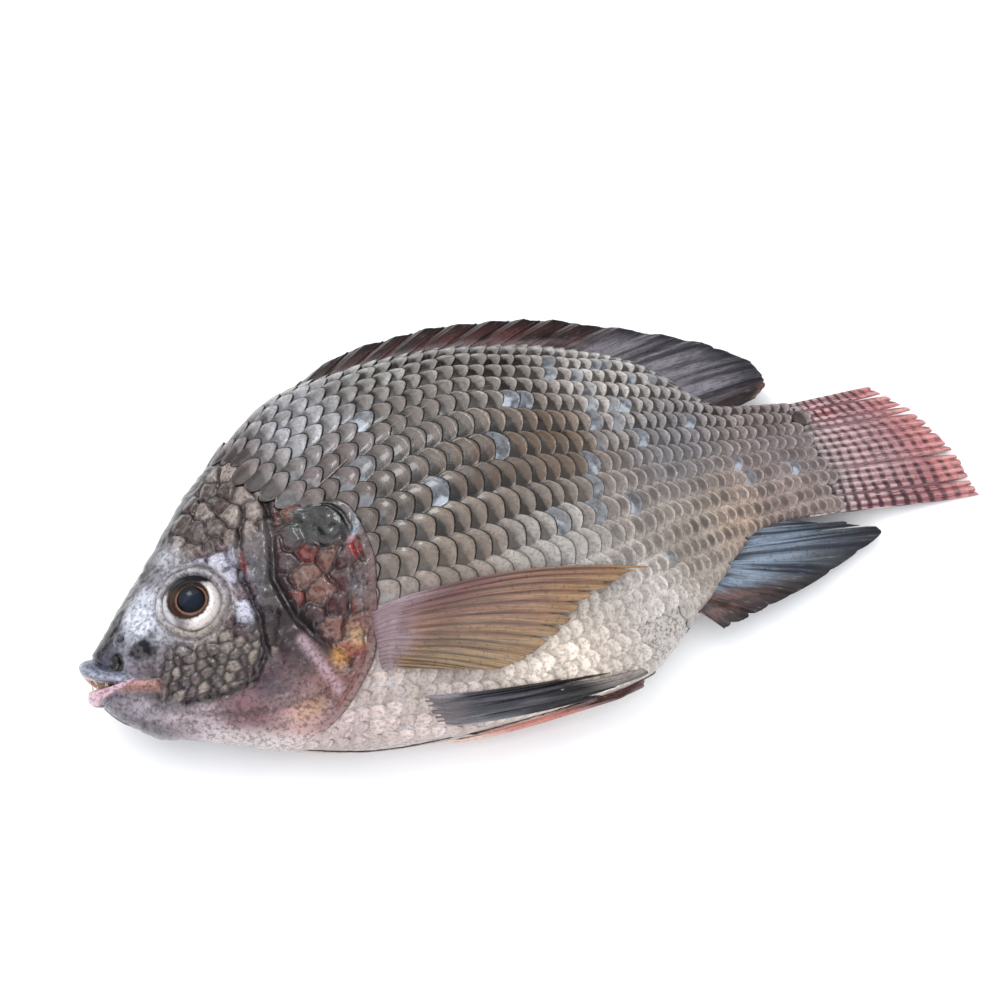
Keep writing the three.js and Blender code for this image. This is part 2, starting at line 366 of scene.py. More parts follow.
class Finish(Tree):  # a material made of nodes
    def __init__(self, name):
        self.material = bpy.data.materials.new(name)
        self.material.use_nodes = True
        tree = self.material.node_tree
        tree.nodes.clear()
        super().__init__(tree.nodes, tree.links)

    def attribute(self, name, output="Fac"):
        return self.make("ShaderNodeAttribute", {"attribute_name": name}, output=output)

    def parts(self, vector):  # its x, y and z
        x = self.make("ShaderNodeSeparateXYZ", inputs={"Vector": vector}, output="X")
        return x, x.other("Y"), x.other("Z")

    def place(self):
        return self.make("ShaderNodeTexCoord", output="Object")

    def stretched(self, vector, *scale):
        return self.make("ShaderNodeMapping", inputs={"Vector": vector, "Scale": scale})

    def noise(self, vector, scale, detail=3.0, roughness=0.55, distortion=0.0):
        return self.make("ShaderNodeTexNoise", inputs={
            "Vector": vector, "Scale": scale, "Detail": detail, "Roughness": roughness,
            "Distortion": distortion})

    def step(self, value, low, high, start=0.0, end=1.0):
        return self.make("ShaderNodeMapRange", {"interpolation_type": "SMOOTHSTEP"}, {
            "Value": value, "From Min": low, "From Max": high, "To Min": start, "To Max": end})

    def blend(self, share, first, second):
        node = self.nodes.new("ShaderNodeMix")
        node.data_type = "RGBA"
        self.plug(share, node.inputs[0])
        self.plug(first, node.inputs[6])
        self.plug(second, node.inputs[7])
        return Wire(self, node.outputs[2])

    def finish(self, inputs, height=None, strength=0.5, distance=0.3):
        inputs = dict(inputs)
        if height is not None:
            inputs["Normal"] = self.make("ShaderNodeBump", inputs={
                "Height": height, "Strength": strength, "Distance": distance * mm})
        skin = self.make("ShaderNodeBsdfPrincipled", inputs=inputs)
        self.make("ShaderNodeOutputMaterial", inputs={"Surface": skin})
        return self.material


class Recipe(Tree):  # a geometry node tree with named inputs
    def __init__(self, name, inputs):
        self.group = bpy.data.node_groups.new(name, "GeometryNodeTree")
        self.group.interface.new_socket("Geometry", in_out="OUTPUT", socket_type="NodeSocketGeometry")
        self.group.interface.new_socket("Geometry", in_out="INPUT", socket_type="NodeSocketGeometry")
        self.identifiers = {}
        for key, kind in inputs.items():
            kind = "NodeSocket" + kind
            socket = self.group.interface.new_socket(key, in_out="INPUT", socket_type=kind)
            self.identifiers[key] = socket.identifier
        super().__init__(self.group.nodes, self.group.links)
        self.source = self.nodes.new("NodeGroupInput")
        self.sink = self.nodes.new("NodeGroupOutput")

    def given(self, name):
        return Wire(self, self.source.outputs[name])

    def named(self, name, kind="FLOAT_VECTOR"):
        return self.make("GeometryNodeInputNamedAttribute", {"data_type": kind}, {"Name": name})

    def end(self, geometry):
        coated = self.make("GeometryNodeSetMaterial", inputs={
            "Geometry": geometry, "Material": self.given("Material")})
        self.links.new(coated.socket, self.sink.inputs[0])

    def run(self, seats, name, values):
        modifier = seats.modifiers.new("recipe", "NODES")
        modifier.node_group = self.group
        for key, value in values.items():
            modifier[self.identifiers[key]] = value
        seats.update_tag()
        bpy.context.view_layer.update()
        graph = bpy.context.evaluated_depsgraph_get()
        mesh = bpy.data.meshes.new_from_object(seats.evaluated_get(graph), depsgraph=graph)
        seats.modifiers.remove(modifier)
        bpy.data.objects.remove(seats)
        mesh.name = name
        piece = bpy.data.objects.new(name, mesh)
        bpy.context.scene.collection.objects.link(piece)
        return piece


# the flank as a flat sheet, for what is laid on it
flank = {
    "from": 30.0, "to": 276.0, "step": 1.5,
    "wrap": 128.0,  # degrees round to the other side of the back and the belly
    "around": 130,
    "underRoom": 0.9,  # room kept for scales between the lower flank and the table
}
hollow = {"a": 141, "h": -31, "length": 62, "height": 24, "tilt": -0.16, "depth": 2.4}


def floorAt(a, h, side, room):
    if side > 0:
        return np.zeros(np.shape(a))
    along = (a - hollow["a"]) / hollow["length"]
    across = (h - hollow["h"] - hollow["tilt"] * (a - hollow["a"])) / hollow["height"]
    return np.maximum(hollow["depth"] * smooth(1 - np.hypot(along, across), 0, 0.2), room)


def roundLength(a, angles):  # distance along the skin from the widest line, at each angle
    fine = np.radians(np.linspace(-flank["wrap"], flank["wrap"], 401))
    h, w = shapeAt(np.full(fine.shape, a), fine)
    length = np.concatenate([[0], np.cumsum(np.hypot(np.diff(h), np.diff(w)))])
    length -= np.interp(0, fine, length)
    return np.interp(angles, fine, length), (fine, length)


def flankSheet(side):
    stops = np.arange(flank["from"], flank["to"], flank["step"])
    angles = np.radians(np.linspace(-flank["wrap"], flank["wrap"], flank["around"])) * side
    a, angle = np.meshgrid(stops, angles, indexing="ij")
    h, w = shapeAt(a, angle)
    points = settle(a, h, side * w, floorAt(a, h, side, flank["underRoom"]))
    length = np.array([roundLength(stop, angles)[0] for stop in stops])
    unrolled = np.stack([a, side * length, np.zeros(a.shape)], -1) * mm
    attributes = {"unrolled": unrolled.reshape(-1, 3), "outward": slopesOf(points).reshape(-1, 3)}
    return makePiece("flank_sheet", points, gridFaces(*a.shape), attributes)


# scales
# a scale 2 long and 2 wide: cells across it, then heights in millimetres; pointed narrows its sides
scaleBlank = {"cells": 7, "rim": 0.30, "camber": 0.14, "arch": 0.45, "under": 0.12, "pointed": 0.42}


def blankScale():
    look, n = scaleBlank, scaleBlank["cells"]
    u, v = np.meshgrid(np.linspace(-1, 1, n), np.linspace(-1, 1, n), indexing="ij")
    x, y = u * np.sqrt(1 - v * v / 2), v * np.sqrt(1 - u * u / 2)
    radius = np.clip(np.hypot(x, y), 0, 1)
    height = look["rim"] * (1 - 0.75 * smooth(radius, 0.86, 1.0)) + look["camber"] * (1 - radius ** 2)
    height += look["arch"] * (1 - y * y)
    narrowed = x * (1 - look["pointed"] * np.abs(y) ** 1.6)
    points = np.stack([narrowed, y, height * mm], -1).reshape(-1, 3)
    faces = [list(f) for f in gridFaces(n, n)]
    ring = [i * n for i in range(n)] + [n * n - n + j for j in range(1, n)]
    ring += [i * n + n - 1 for i in range(n - 2, -1, -1)] + list(range(n - 2, 0, -1))
    first, count = len(points), len(ring)
    local = np.stack([x, y, np.hypot(x, y)], -1).reshape(-1, 3)
    under = [(points[i][0], points[i][1], -look["under"] * mm) for i in ring]
    for k in range(count):
        faces.append([ring[k], ring[(k + 1) % count], first + (k + 1) % count, first + k])
    faces.append([first + k for k in range(count)])
    attributes = {"plate": np.concatenate([local, local[ring]])}
    blank = makePiece("blank_scale", np.concatenate([points, under]), faces, attributes)
    turnOutwards(blank)
    blank.data.polygons[-1].use_smooth = False
    return blank


def scaleRecipe():  # scales stand on the seats of a flat sheet, then the sheet is rolled onto the body
    tree = Recipe("laid_scales", {
        "Sheet": "Object", "Blank": "Object", "Seed": "Int", "Turn": "Float", "Spread": "Float",
        "Material": "Material"})
    seed = tree.given("Seed")

    def shapeOf(name):
        return tree.make("GeometryNodeObjectInfo", inputs={"Object": tree.given(name)}, output="Geometry")

    sheet, blank = shapeOf("Sheet"), shapeOf("Blank")

    def chance(low, high, offset):
        return tree.make("FunctionNodeRandomValue", {"data_type": "FLOAT"}, {
            2: low, 3: high, "Seed": seed + offset}, output=0)

    turn = tree.named("turn", "FLOAT") + chance(-1.0, 1.0, 1) * tree.given("Turn")
    tilt = tree.named("tilt", "FLOAT") * chance(0.75, 1.3, 2)
    growth = 1 + chance(-1.0, 1.0, 3) * tree.given("Spread")
    rotation = tree.make("ShaderNodeCombineXYZ", inputs={"X": 0.0, "Y": 0 - tilt, "Z": turn})
    stretch = tree.make("ShaderNodeCombineXYZ", inputs={
        "X": tree.named("length", "FLOAT") * growth, "Y": tree.named("width", "FLOAT") * growth,
        "Z": tree.named("fullness", "FLOAT")})
    laid = tree.make("GeometryNodeInstanceOnPoints", inputs={
        "Points": tree.given("Geometry"), "Instance": blank, "Rotation": rotation, "Scale": stretch})
    solid = tree.make("GeometryNodeRealizeInstances", inputs={"Geometry": laid})
    position = tree.make("GeometryNodeInputPosition")

    def sampled(name):
        node = tree.nodes.new("GeometryNodeSampleUVSurface")
        node.data_type = "FLOAT_VECTOR"
        tree.links.new(sheet.socket, node.inputs["Mesh"])
        tree.links.new(name.socket, node.inputs["Value"])
        tree.links.new(tree.named("unrolled").socket, node.inputs["UV Map"])
        tree.links.new(position.socket, node.inputs["Sample UV"])
        return Wire(tree, node.outputs["Value"])

    lift = tree.make("ShaderNodeSeparateXYZ", inputs={"Vector": position}, output="Z")
    raised = tree.make("ShaderNodeVectorMath", {"operation": "SCALE"}, {
        "Vector": sampled(tree.named("outward")), "Scale": lift})
    spot = tree.make("ShaderNodeVectorMath", {"operation": "ADD"}, {0: sampled(position), 1: raised})
    tree.end(tree.make("GeometryNodeSetPosition", inputs={"Geometry": solid, "Position": spot}))
    return tree


def seatsFrom(rows):  # one vertex for each scale, with what the recipe and the finish read
    table = np.array([row[:12] for row in rows], float)
    points = np.stack([table[:, 0], table[:, 1], np.zeros(len(table))], -1) * mm
    return makePiece("seats", points, [], {
        "length": table[:, 2] * mm, "width": table[:, 3] * mm, "tilt": table[:, 4], "turn": table[:, 5],
        "silver": table[:, 6], "outline": table[:, 7], "marks": table[:, 8:11], "fullness": table[:, 11],
        "tone": opaque(np.array([row[12] for row in rows]))})


# a, h and the colour of each stretch of the trunk
# the pale tones along the top of the back (shoulder, backEdge, rearBack) are partly the fish's paler back
# and partly painted highlight
trunkTones = {
    "nape": (60, 46, "806f6e"), "shoulder": (90, 56, "c1c2c8"), "behindGill": (108, 18, "584a44"),
    "underShoulder": (98, 34, "67575b"), "upperFlank": (124, 44, "746b66"), "backEdge": (125, 73, "b2b1ae"),
    "midFlank": (140, 24, "5f483a"), "lowFlank": (126, -3, "8e7f72"), "highMid": (160, 50, "9a948f"),
    "rearFlank": (168, 24, "7a634f"), "rearLow": (160, -14, "c1bbb6"), "rearBack": (197, 45, "e5ded9"),
    "tailSide": (212, 16, "9c9aa0"), "tailRoot": (250, 6, "a29395"), "tailUnder": (244, -17, "bba39c"),
    "underTail": (229, -19, "d3baa5"), "vent": (190, -40, "d2c9c3"), "rearBelly": (207, -24, "b4a89d"),
    "belly": (150, -46, "edddce"), "breast": (104, -45, "ab9d96"), "keel": (100, -57, "d2beb9"),
    "throat": (70, -50, "c2aeab"),
}
trunk = {
    # length of a scale's free part, and the gaps between rows on the flank, the back and the belly
    "pitch": curveThrough([50, 75, 100, 130, 150, 175, 200, 262], [5.0, 6.3, 6.6, 6.0, 5.6, 4.7, 3.9, 3.5]),
    "flankGap": curveThrough([50, 90, 140, 175, 210, 262], [5.4, 7.9, 11.0, 9.0, 6.8, 4.9]),
    "backGap": curveThrough([50, 90, 140, 175, 210, 262], [5.2, 7.6, 6.9, 6.8, 6.4, 4.8]),
    "bellyGap": curveThrough([50, 90, 140, 175, 210, 262], [4.4, 5.2, 5.8, 6.0, 6.2, 4.8]),
    "lean": curveThrough([50, 90, 150, 200, 262], [0.15, 0.30, 0.32, 0.14, 0.08]),
    "start": 46.0,
    "rows": (-15, 14),
    "shift": 0.36,  # how far each row starts behind the one below it, in scales
    "crowd": 0.78,  # belly scales are shorter
    "tilt": math.radians(7.5),
    "overlap": 2.15,
    "reach": 0.68,
    "jitter": 0.35,
    "toneSpread": 0.3,
    "silverChance": 0.55,
    "strayShine": 0.02,
    # spots where scales may shine silver
    "silverBands": [
        (152, 25, 7, 24), (163, 42, 10, 24), (190, 38, 30, 26), (95, 48, 18, 12), (104, 36, 10, 10),
        (178, 0, 12, 18), (128, 8, 9, 16)],
    # spots that are browner or darker, and by how much in red, green and blue
    "shades": [((155, 20, 42, 30), (0.30, 0.38, 0.45)), ((158, -36, 34, 16), (0.28, 0.28, 0.28))],
}


def rowPlace(k, a):  # distance of row k from the widest line, along the skin
    edge = trunk["backGap"](a) if k > 0 else trunk["bellyGap"](a)
    gaps = mix(trunk["flankGap"](a), edge, smooth(np.arange(abs(k)), 2, 4.5))
    return math.copysign(gaps.sum(), k)


def backOfHead(angle):  # where the gill cover, the nape and the throat end
    return headEnd(np.degrees(angle))


def bareVent(a, h):
    return np.hypot((a - 190) / 12, (h + 50) / 9) < 1


def scaleMarks(a, h):  # dark front pocket (pigment and painted shade where the scale dips under the one before it), pale front edge (painted highlight), grey spot, and dark outline (painted shade in the crevice) of a scale
    low, belly = smooth(-h, -10, 20), smooth(-h, 20, 40)
    rear, front = smooth(a, 158, 192), smooth(-a, -124, -98)
    spot = rear * smooth(-h, -26, 0) * (1 - 0.8 * belly)
    pocketPigmentAndShade = (1 - 0.35 * front) * (1 - 0.7 * spot) * (1 - 0.75 * low) * (1 - 0.15 * rear)
    # pale: strength of the painted highlight along the front of the shoulder scales
    pale = 0.5 * front * smooth(a, 72, 90)
    # outline: how strongly the painted crevice shade round the scale shows, and how strong its mottling is
    outline = mix(1, 0.22, smooth(-h, 4, 30)) * mix(1, 0.7, rear)
    return pocketPigmentAndShade, pale, spot, outline


def trunkSeats(side, chance):
    stops = np.arange(trunk["start"], fish["standardLength"] + 9, 0.5)
    passed = np.cumsum(0.5 / trunk["pitch"](stops))  # how many scales have passed at each stop
    rows = []
    for k in range(*trunk["rows"]):
        crowd = mix(1, trunk["crowd"], float(smooth(-k, 2.5, 5.5)))
        for i in np.arange(trunk["shift"] * k % 1, passed[-1] / crowd, 1):
            a = float(np.interp(i * crowd, passed, stops))
            a += chance.uniform(-trunk["jitter"], trunk["jitter"])
            _, (fine, length) = roundLength(a, 0)
            s = rowPlace(k, a)
            gap = (rowPlace(k + 1, a) - rowPlace(k - 1, a)) / 2
            angle = np.interp(s, length, fine)
            if abs(math.degrees(angle)) > 86 or not length[0] < s < length[-1]:
                continue
            h = float(shapeAt(a, angle)[0])
            if a < backOfHead(angle) - (6 if angle < 0.42 else 10) or bareVent(a, h):
                continue
            if a > 261 + 9 * chance.random():
                continue
            pocketPigmentAndShade, pale, spotted, outline = (float(v) for v in scaleMarks(a, h))
            belly = float(smooth(-h, 20, 40))
            shine = max(float(bump(awayFrom(a, h, spot))) for spot in trunk["silverBands"])
            shine = float(chance.random() < trunk["silverChance"] * shine)
            shine = shine * chance.uniform(0.3, 1) * (1 - belly)
            stray = float(chance.random() < trunk["strayShine"]) * (1 - belly)
            shine = max(shine, 0.8 * stray) * float(a > 82)
            spread = 1 + trunk["toneSpread"] * (chance.random() - 0.5)
            tone = blendTones(trunkTones, a, h) * spread * mix(0.74, 1.0, belly)
            for spot, less in trunk["shades"]:
                tone = tone * (1 - float(bump(awayFrom(a, h, spot))) * np.array(less))
            flat = mix(1, 0.3, belly)
            rows.append((
                a, side * (s + chance.uniform(-0.3, 0.3)),
                trunk["overlap"] / 2 * trunk["pitch"](a) * crowd, trunk["reach"] * gap,
                trunk["tilt"] * flat, side * trunk["lean"](a) * flat, shine, outline,
                pocketPigmentAndShade * chance.uniform(0.8, 1), pale * chance.uniform(0.1, 1),
                spotted * chance.uniform(0.6, 1), mix(1, 0.45, belly), tone))
    return rows


def scaleFinish():
    coat = Finish("wet scales")
    x, y, radius = coat.parts(coat.attribute("plate", "Vector"))
    pocketPigmentAndShade, pale, spotted = coat.parts(coat.attribute("marks", "Vector"))
    tone = coat.attribute("tone", "Color")
    silver = coat.attribute("silver")
    outline = coat.attribute("outline")
    spot = coat.place()
    fine = coat.noise(spot, 900, 4, 0.65)
    ragged = coat.noise(spot, 330, 3, 0.6, 0.5)
    broad = coat.noise(spot, 130, 3)
    rings = coat.make("ShaderNodeMath", {"operation": "SINE"}, {0: radius * 70 + fine * 5})
    front = x + y * y * 0.12 - (ragged - 0.5) * 0.45
    speckled = coat.blend(coat.step(fine, 0.44, 0.62) * 0.42, tone, (0.05, 0.04, 0.034))
    patches = coat.step(broad, 0.58, 0.40) * (0.10 + outline * 0.25)
    mottled = coat.blend(patches, speckled, (0.11, 0.09, 0.075))
    # pigment and painted shade: the front of each scale, where it dips under the scale before it, is
    # darkened in two steps
    shaded = coat.blend(coat.step(front, 0.80, 0.22) * pocketPigmentAndShade * 0.6, mottled, (0.040, 0.026, 0.019))
    deep = coat.blend(coat.step(front, 0.36, 0.12) * pocketPigmentAndShade, shaded, (0.005, 0.003, 0.002))
    away = (x - 0.36) * (x - 0.36) * 5.0 + y * y * 2.2 + (ragged - 0.5) * 0.8
    dotted = coat.blend(coat.step(away, 1.15, 0.1) * spotted * 0.85, deep, (0.055, 0.043, 0.040))
    # painted highlight: a pale blue-white strip along the front of the scale
    strip = coat.step(x + y * 0.5 - (ragged - 0.5) * 0.9, 0.40, 0.05)
    lit = coat.blend(strip * coat.step(broad, 0.38, 0.6) * pale * 0.6, dotted, (0.42, 0.46, 0.52))
    # painted highlight: a pale line along the raised rear rim, stronger on silver scales
    rim = coat.step(radius, 0.84, 0.91) * coat.step(radius, 0.96, 0.92)
    rimmed = coat.blend(rim * (0.06 + pale * 0.2 + silver * 0.4), lit, (0.42, 0.39, 0.36))
    # silver scales: a bluish-grey tint that is partly the scales' own silvering and partly painted
    # reflection
    slate = coat.blend(coat.step(ragged, 0.36, 0.66), (0.055, 0.063, 0.080), (0.17, 0.195, 0.235))
    silvered = coat.blend(silver * 0.75, rimmed, slate)
    # painted highlight: a pale blue-white flash on the silver scales
    flash = silver * strip * coat.step(broad, 0.42, 0.58) * 0.7
    flashed = coat.blend(flash, silvered, (0.42, 0.46, 0.52))
    # painted shade: a near-black line round the scale's edge, where its free rim shades the crevice
    edged = coat.blend(coat.step(radius, 0.90, 0.97) * outline, flashed, (0.012, 0.009, 0.008))
    return coat.finish({
        "Base Color": edged, "Roughness": coat.step(fine, 0.3, 0.7, 0.22, 0.42),
        "Coat Weight": 0.4, "Coat Roughness": 0.10, "Specular IOR Level": 0.3,
    }, rings * 0.25 + fine, 0.4, 0.12)


# skin under the scales
# offset: how far the skin lies under the scales; it sinks deeper under the head and in the tail fin
trunkBare = {
    "from": 46, "to": 268, "rings": 185, "around": 180, "room": 0.35, "offset": 0.35,
    # dark and darkBelly: painted shade, how far the skin seen between the scales is darkened on the flank
    # and on the belly
    "underHead": 3.0, "inTail": 3.2, "dark": 0.28, "darkBelly": 0.75,
}


def trunkSkin():
    look = trunkBare
    stops = np.linspace(look["from"], look["to"], look["rings"])
    angles = np.radians(np.linspace(0, 360, look["around"], endpoint=False))
    a, angle = np.meshgrid(stops, angles, indexing="ij")
    h, w = shapeAt(a, angle)
    rise = np.degrees(np.arcsin(np.sin(angle)))
    floor = np.where(w < 0, floorAt(a, h, -1, look["room"]), 0)
    points = settle(a, h, w, floor)
    sunk = look["offset"] + look["underHead"] * smooth(headEnd(rise) - 5 - a, 0, 5)
    sunk += look["inTail"] * smooth(a, 258, 268)
    points = points - slopesOf(points, True) * sunk[..., None] * mm
    tones = blendTones(trunkTones, a, h)
    # painted shade: the skin between the scales is darkened, less on the belly, and keeps its own colour
    # where it runs bare into the tail fin
    shadedUnderScales = tones * mix(look["dark"], look["darkBelly"], smooth(-h, 18, 42))[..., None]
    return points, mix(shadedUnderScales, tones, smooth(a, 250, 262)[..., None])


def closeRings(points):  # a closed loft: rings of points, and one more point at each end
    rings, sides = points.shape[:2]
    ends = [points[0].mean(0), points[-1].mean(0)]
    faces = gridFaces(rings, sides, True).tolist()
    first = rings * sides
    for j in range(sides):
        k = (j + 1) % sides
        faces.append([first, j, k])
        faces.append([first + 1, (rings - 1) * sides + k, (rings - 1) * sides + j])
    return np.concatenate([points.reshape(-1, 3), ends]), faces


def loftPiece(name, points, tones, finish):
    solid, faces = closeRings(points)
    tones = np.concatenate([tones.reshape(-1, 3), tones[0].mean(0)[None], tones[-1].mean(0)[None]])
    return turnOutwards(makePiece(name, solid, faces, {"tone": opaque(tones)}, finish))


# head
# the end of the head's skin at each angle: throat, gill cover's free edge, then the nape
headEnd = curveThrough(
    [-90, -75, -53, -44, -34, -15, -2, 11, 15, 19, 24, 40, 90],
    [57, 64, 79, 85.4, 92.5, 99, 102, 100, 97, 88, 84, 80, 70])
# how far its free edge stands off the body there
endLift = curveThrough([-90, -75, -45, 14, 19, 26, 90], [0.3, 0.7, 1.6, 1.6, 0.6, -2.2, -2.2])
head = {
    "rings": 225, "mouthRings": 14, "columns": 340,
    "gapeCorner": (11.5, -10.8), "gapeCornerAngle": -12.0,
    "upperLip": (0.3, -1.9), "lowerLip": (0.55, -7.7),
    "mouthBack": (16.0, -9.5), "settledFrom": 22.0,
    "lipWidth": 6.2, "lipHeight": 2.3,
    # how the skin folds in behind its free edge: along the body, and inwards
    "folds": [(0.5, 0.9), (0.2, 0.2), (-2.0, -1.0), (-8.0, -4.0)],
}
nostril = (16.0, 3.5)
lipPit = (12.6, -3.7)
maxilla = ((11.5, -11.5), (23.5, -16.2), 2.9)  # both ends of the upper jaw's bone, and its half width

# a, h and the colour of each part of the head
headTones = {
    "forehead": (44, 40, "4b4444"), "brow": (36, 24, "908e94"), "beforeEye": (25, 9, "c1c3cf"),
    "snoutRidge": (12, 10, "2a2a30"), "foreheadRidge": (30, 29, "343134"), "snoutTip": (5, -1, "474957"),
    "cheek": (44, -16, "675f5b"), "behindEye": (57, 8, "8b8894"), "temple": (63, 28, "5f5450"),
    "crescent": (65, -8, "221a1f"), "crescentLow": (57, -26, "413239"), "gillFront": (76, 10, "432b2d"),
    "gillCover": (88, -6, "622c29"), "gillTop": (90, 20, "2a2b30"), "gillLow": (82, -33, "744f4a"),
    "jaw": (32, -34, "a19096"), "chin": (14, -24, "8a828a"), "flange": (48, -33, "6e4b51"),
    "lowerEdge": (62, -43, "9d7c7a"), "beforeCheek": (24, -14, "534950"), "napeTop": (62, 50, "645d5b"),
}


def segmentDistance(a, h, start, end):
    (x0, y0), (x1, y1) = start, end
    length = (x1 - x0) ** 2 + (y1 - y0) ** 2
    share = np.clip(((a - x0) * (x1 - x0) + (h - y0) * (y1 - y0)) / length, 0, 1)
    return np.hypot(a - x0 - share * (x1 - x0), h - y0 - share * (y1 - y0))


def pathDistance(a, h, path):
    return np.min([segmentDistance(a, h, p, q) for p, q in zip(path, path[1:])], axis=0)


# the furrow between the cheek and the smooth bone behind it, and the one in front of the gill cover
cheekFurrow = [(66, 33), (61, 20), (59.5, 8), (61, -6), (60, -18), (54, -25), (44, -26), (30, -24)]
gillFurrow = [(74, 34), (72, 18), (69, 5), (72, -10), (80, -24), (84, -30)]
jawFurrow = [(20, -21), (34, -29), (48, -34), (62, -36), (74, -36)]
# path, half width and depth of the groove, half width and share of the painted shade in it
furrows = [
    (cheekFurrow, 1.8, 0.9, 2.4, 0.9), (gillFurrow, 2.2, 1.2, 3.2, 0.9), (jawFurrow, 2.2, 0.5, 1.5, 0.45)]


# size of the plates, stretch of their height, seed, how far they stand out, how much their rear edge rises
headPlates = {
    "cheek": (3.9, 0.85, 3, 0.60, 0.03), "behindEye": (6.4, 1.05, 8, 0.85, 0.06),
    "temple": (6.8, 1.0, 5, 0.85, 0.09), "gill": (8.4, 0.85, 13, 1.0, 0.10),
}
plateTones = {
    "cheek": ("8a7d72", "3b3230", "5f5450"), "behindEye": ("b9b9c9", "5e4850", "9391a3"),
    "temple": ("74665d", "4c4039", "94877f"), "gill": ("6e2e29", "6a4a3f", "382b2d"),
}
gillStart = ((-30, -24, -10, 5, 18, 34), (85, 81, 73, 70, 73, 75))  # h, a


def plateMasks(a, h):
    fromEye = np.hypot(a - eye["a"], h - eye["h"])
    turn = np.degrees(np.arctan2(h - eye["h"], a - eye["a"]))
    toEnd = headEnd(np.degrees(angleAt(a, h))) - a
    cheek = smooth(fromEye, 13.5, 15.5) * smooth(-fromEye, -35, -31)
    behindEye = smooth(fromEye, 12.8, 14.2) * smooth(-fromEye, -23, -20.5)
    outOfBlotch = smooth(np.hypot((a - 91) / 11, (h - 18) / 9.5), 0.8, 1.05)
    onGill = smooth(a - np.interp(h, *gillStart), 0, 2) * smooth(toEnd, 1.5, 3.5)
    aboveTemple = smooth(topAt(a) - h, 6, 9)
    return {
        "cheek": cheek * smooth(turn, -140, -126) * smooth(-turn, 34, 48),
        "behindEye": behindEye * smooth(turn, -58, -48) * smooth(-turn, -84, -72),
        "temple": smooth(h, 20, 25) * smooth(a, 36, 44) * aboveTemple * smooth(-a, -84, -79),
        "gill": onGill * smooth(h, -31, -27) * smooth(-h, -30, -26) * outOfBlotch,
    }


def warped(a, h):
    return a + 0.9 * grain(a, h, 4.5, 31), h + 0.9 * grain(a, h, 4.5, 33)


def eyeReach(a, h):  # distance from the eye, a little uneven
    turn = np.arctan2(h - eye["h"], a - eye["a"])
    fromEye = np.hypot(a - eye["a"], h - eye["h"])
    wobble = 1 + 0.025 * np.sin(2 * turn + 0.6) + 0.015 * np.sin(5 * turn)
    return fromEye * wobble + 0.35 * grain(a, h, 3.5, 35)


def headRelief(a, h):  # how far the head's skin stands out, in millimetres
    fromEye = eyeReach(a, h)
    relief = 0.40 * grain(a, h, 7.0, 3) + 0.24 * grain(a, h, 2.6, 5) + 0.12 * grain(a, h, 1.1, 7)
    for name, mask in plateMasks(a, h).items():
        size, stretch, seed, height, shingle = headPlates[name]
        border, along, _ = plates(*warped(a, h), size, stretch, seed)
        relief += mask * (height * (smooth(border, 0.0, 1.2) - 0.6) + shingle * along)
    relief += 1.3 * bump((fromEye - 11.0) / 1.9) + 0.4 * bump((fromEye - 13.9) / 1.6)
    relief -= 0.5 * bump((fromEye - 12.5) / 0.8)
    relief -= 7.0 * smooth(-fromEye, -eye["opening"] - 0.5, -eye["opening"] + 0.9)
    fromNostril = np.hypot(a - nostril[0], h - nostril[1])
    relief -= 1.6 * bump(fromNostril / 1.5)
    relief += 0.6 * bump((fromNostril - 1.9) / 1.1)
    relief -= 1.5 * bump(awayFrom(a, h, (*lipPit, 2.2, 3.6)))
    relief += 1.9 * bump(segmentDistance(a, h, *maxilla[:2]) / maxilla[2])
    for path, width, depth, _, _ in furrows:
        relief -= depth * bump(pathDistance(a, h, path) / width)
    relief += 0.9 * bump((a - 46) / 18) * bump((h + 15) / 12)
    relief += 0.8 * bump(awayFrom(a, h, (22, -27, 12, 7)))
    relief += 1.0 * smooth(fromEye, 15, 20) * bump((a - 24) / 14) * bump((h - 6) / 12)
    relief += 0.7 * bump(awayFrom(a, h, (40, 26, 12, 5))) * smooth(fromEye, 15, 17)
    return relief


# colour, share, the spot, and between which grain values it breaks up
foreheadPaleAndSheen = [
    # pale silvery patches above and before the eye, partly the skin's own colour and partly painted
    # highlight
    ("c9ccd6", 0.55, (37, 26, 9, 5), (-0.4, 0.3)),
    ("cdd2dd", 0.8, (24, 7, 7, 8), (-0.35, 0.25)),
]
gillSpots = [
    ("9a1712", 0.9, (97, 6, 3.4, 5.5), (-0.6, 0.1)), ("8c2a20", 0.75, (61, 13, 2.0, 8), (-0.5, 0.2)),
    ("8c3a30", 0.65, (84, 28.5, 13, 3), (-0.5, 0.2)), ("c08a4e", 0.85, (82, -27, 4.5, 5.5), None),
    ("b08d63", 0.7, (89, -23, 5, 6), None), ("b58a5c", 0.45, (68, -39, 9, 5), None),
]
eyeMark = (22.5, -3.2, 5.6, 3.9)
gillBlotch = (91, 18, 11.5, 10)
crescentPath = [(64, 14), (66, 0), (66, -12), (72, -24)]


def paintSpots(tone, spots, a, h, rough):
    for words, share, spot, breaks in spots:
        mask = share * bump(awayFrom(a, h, spot))
        if breaks:
            mask = mask * smooth(rough, *breaks)
        tone = paint(tone, words, mask)
    return tone


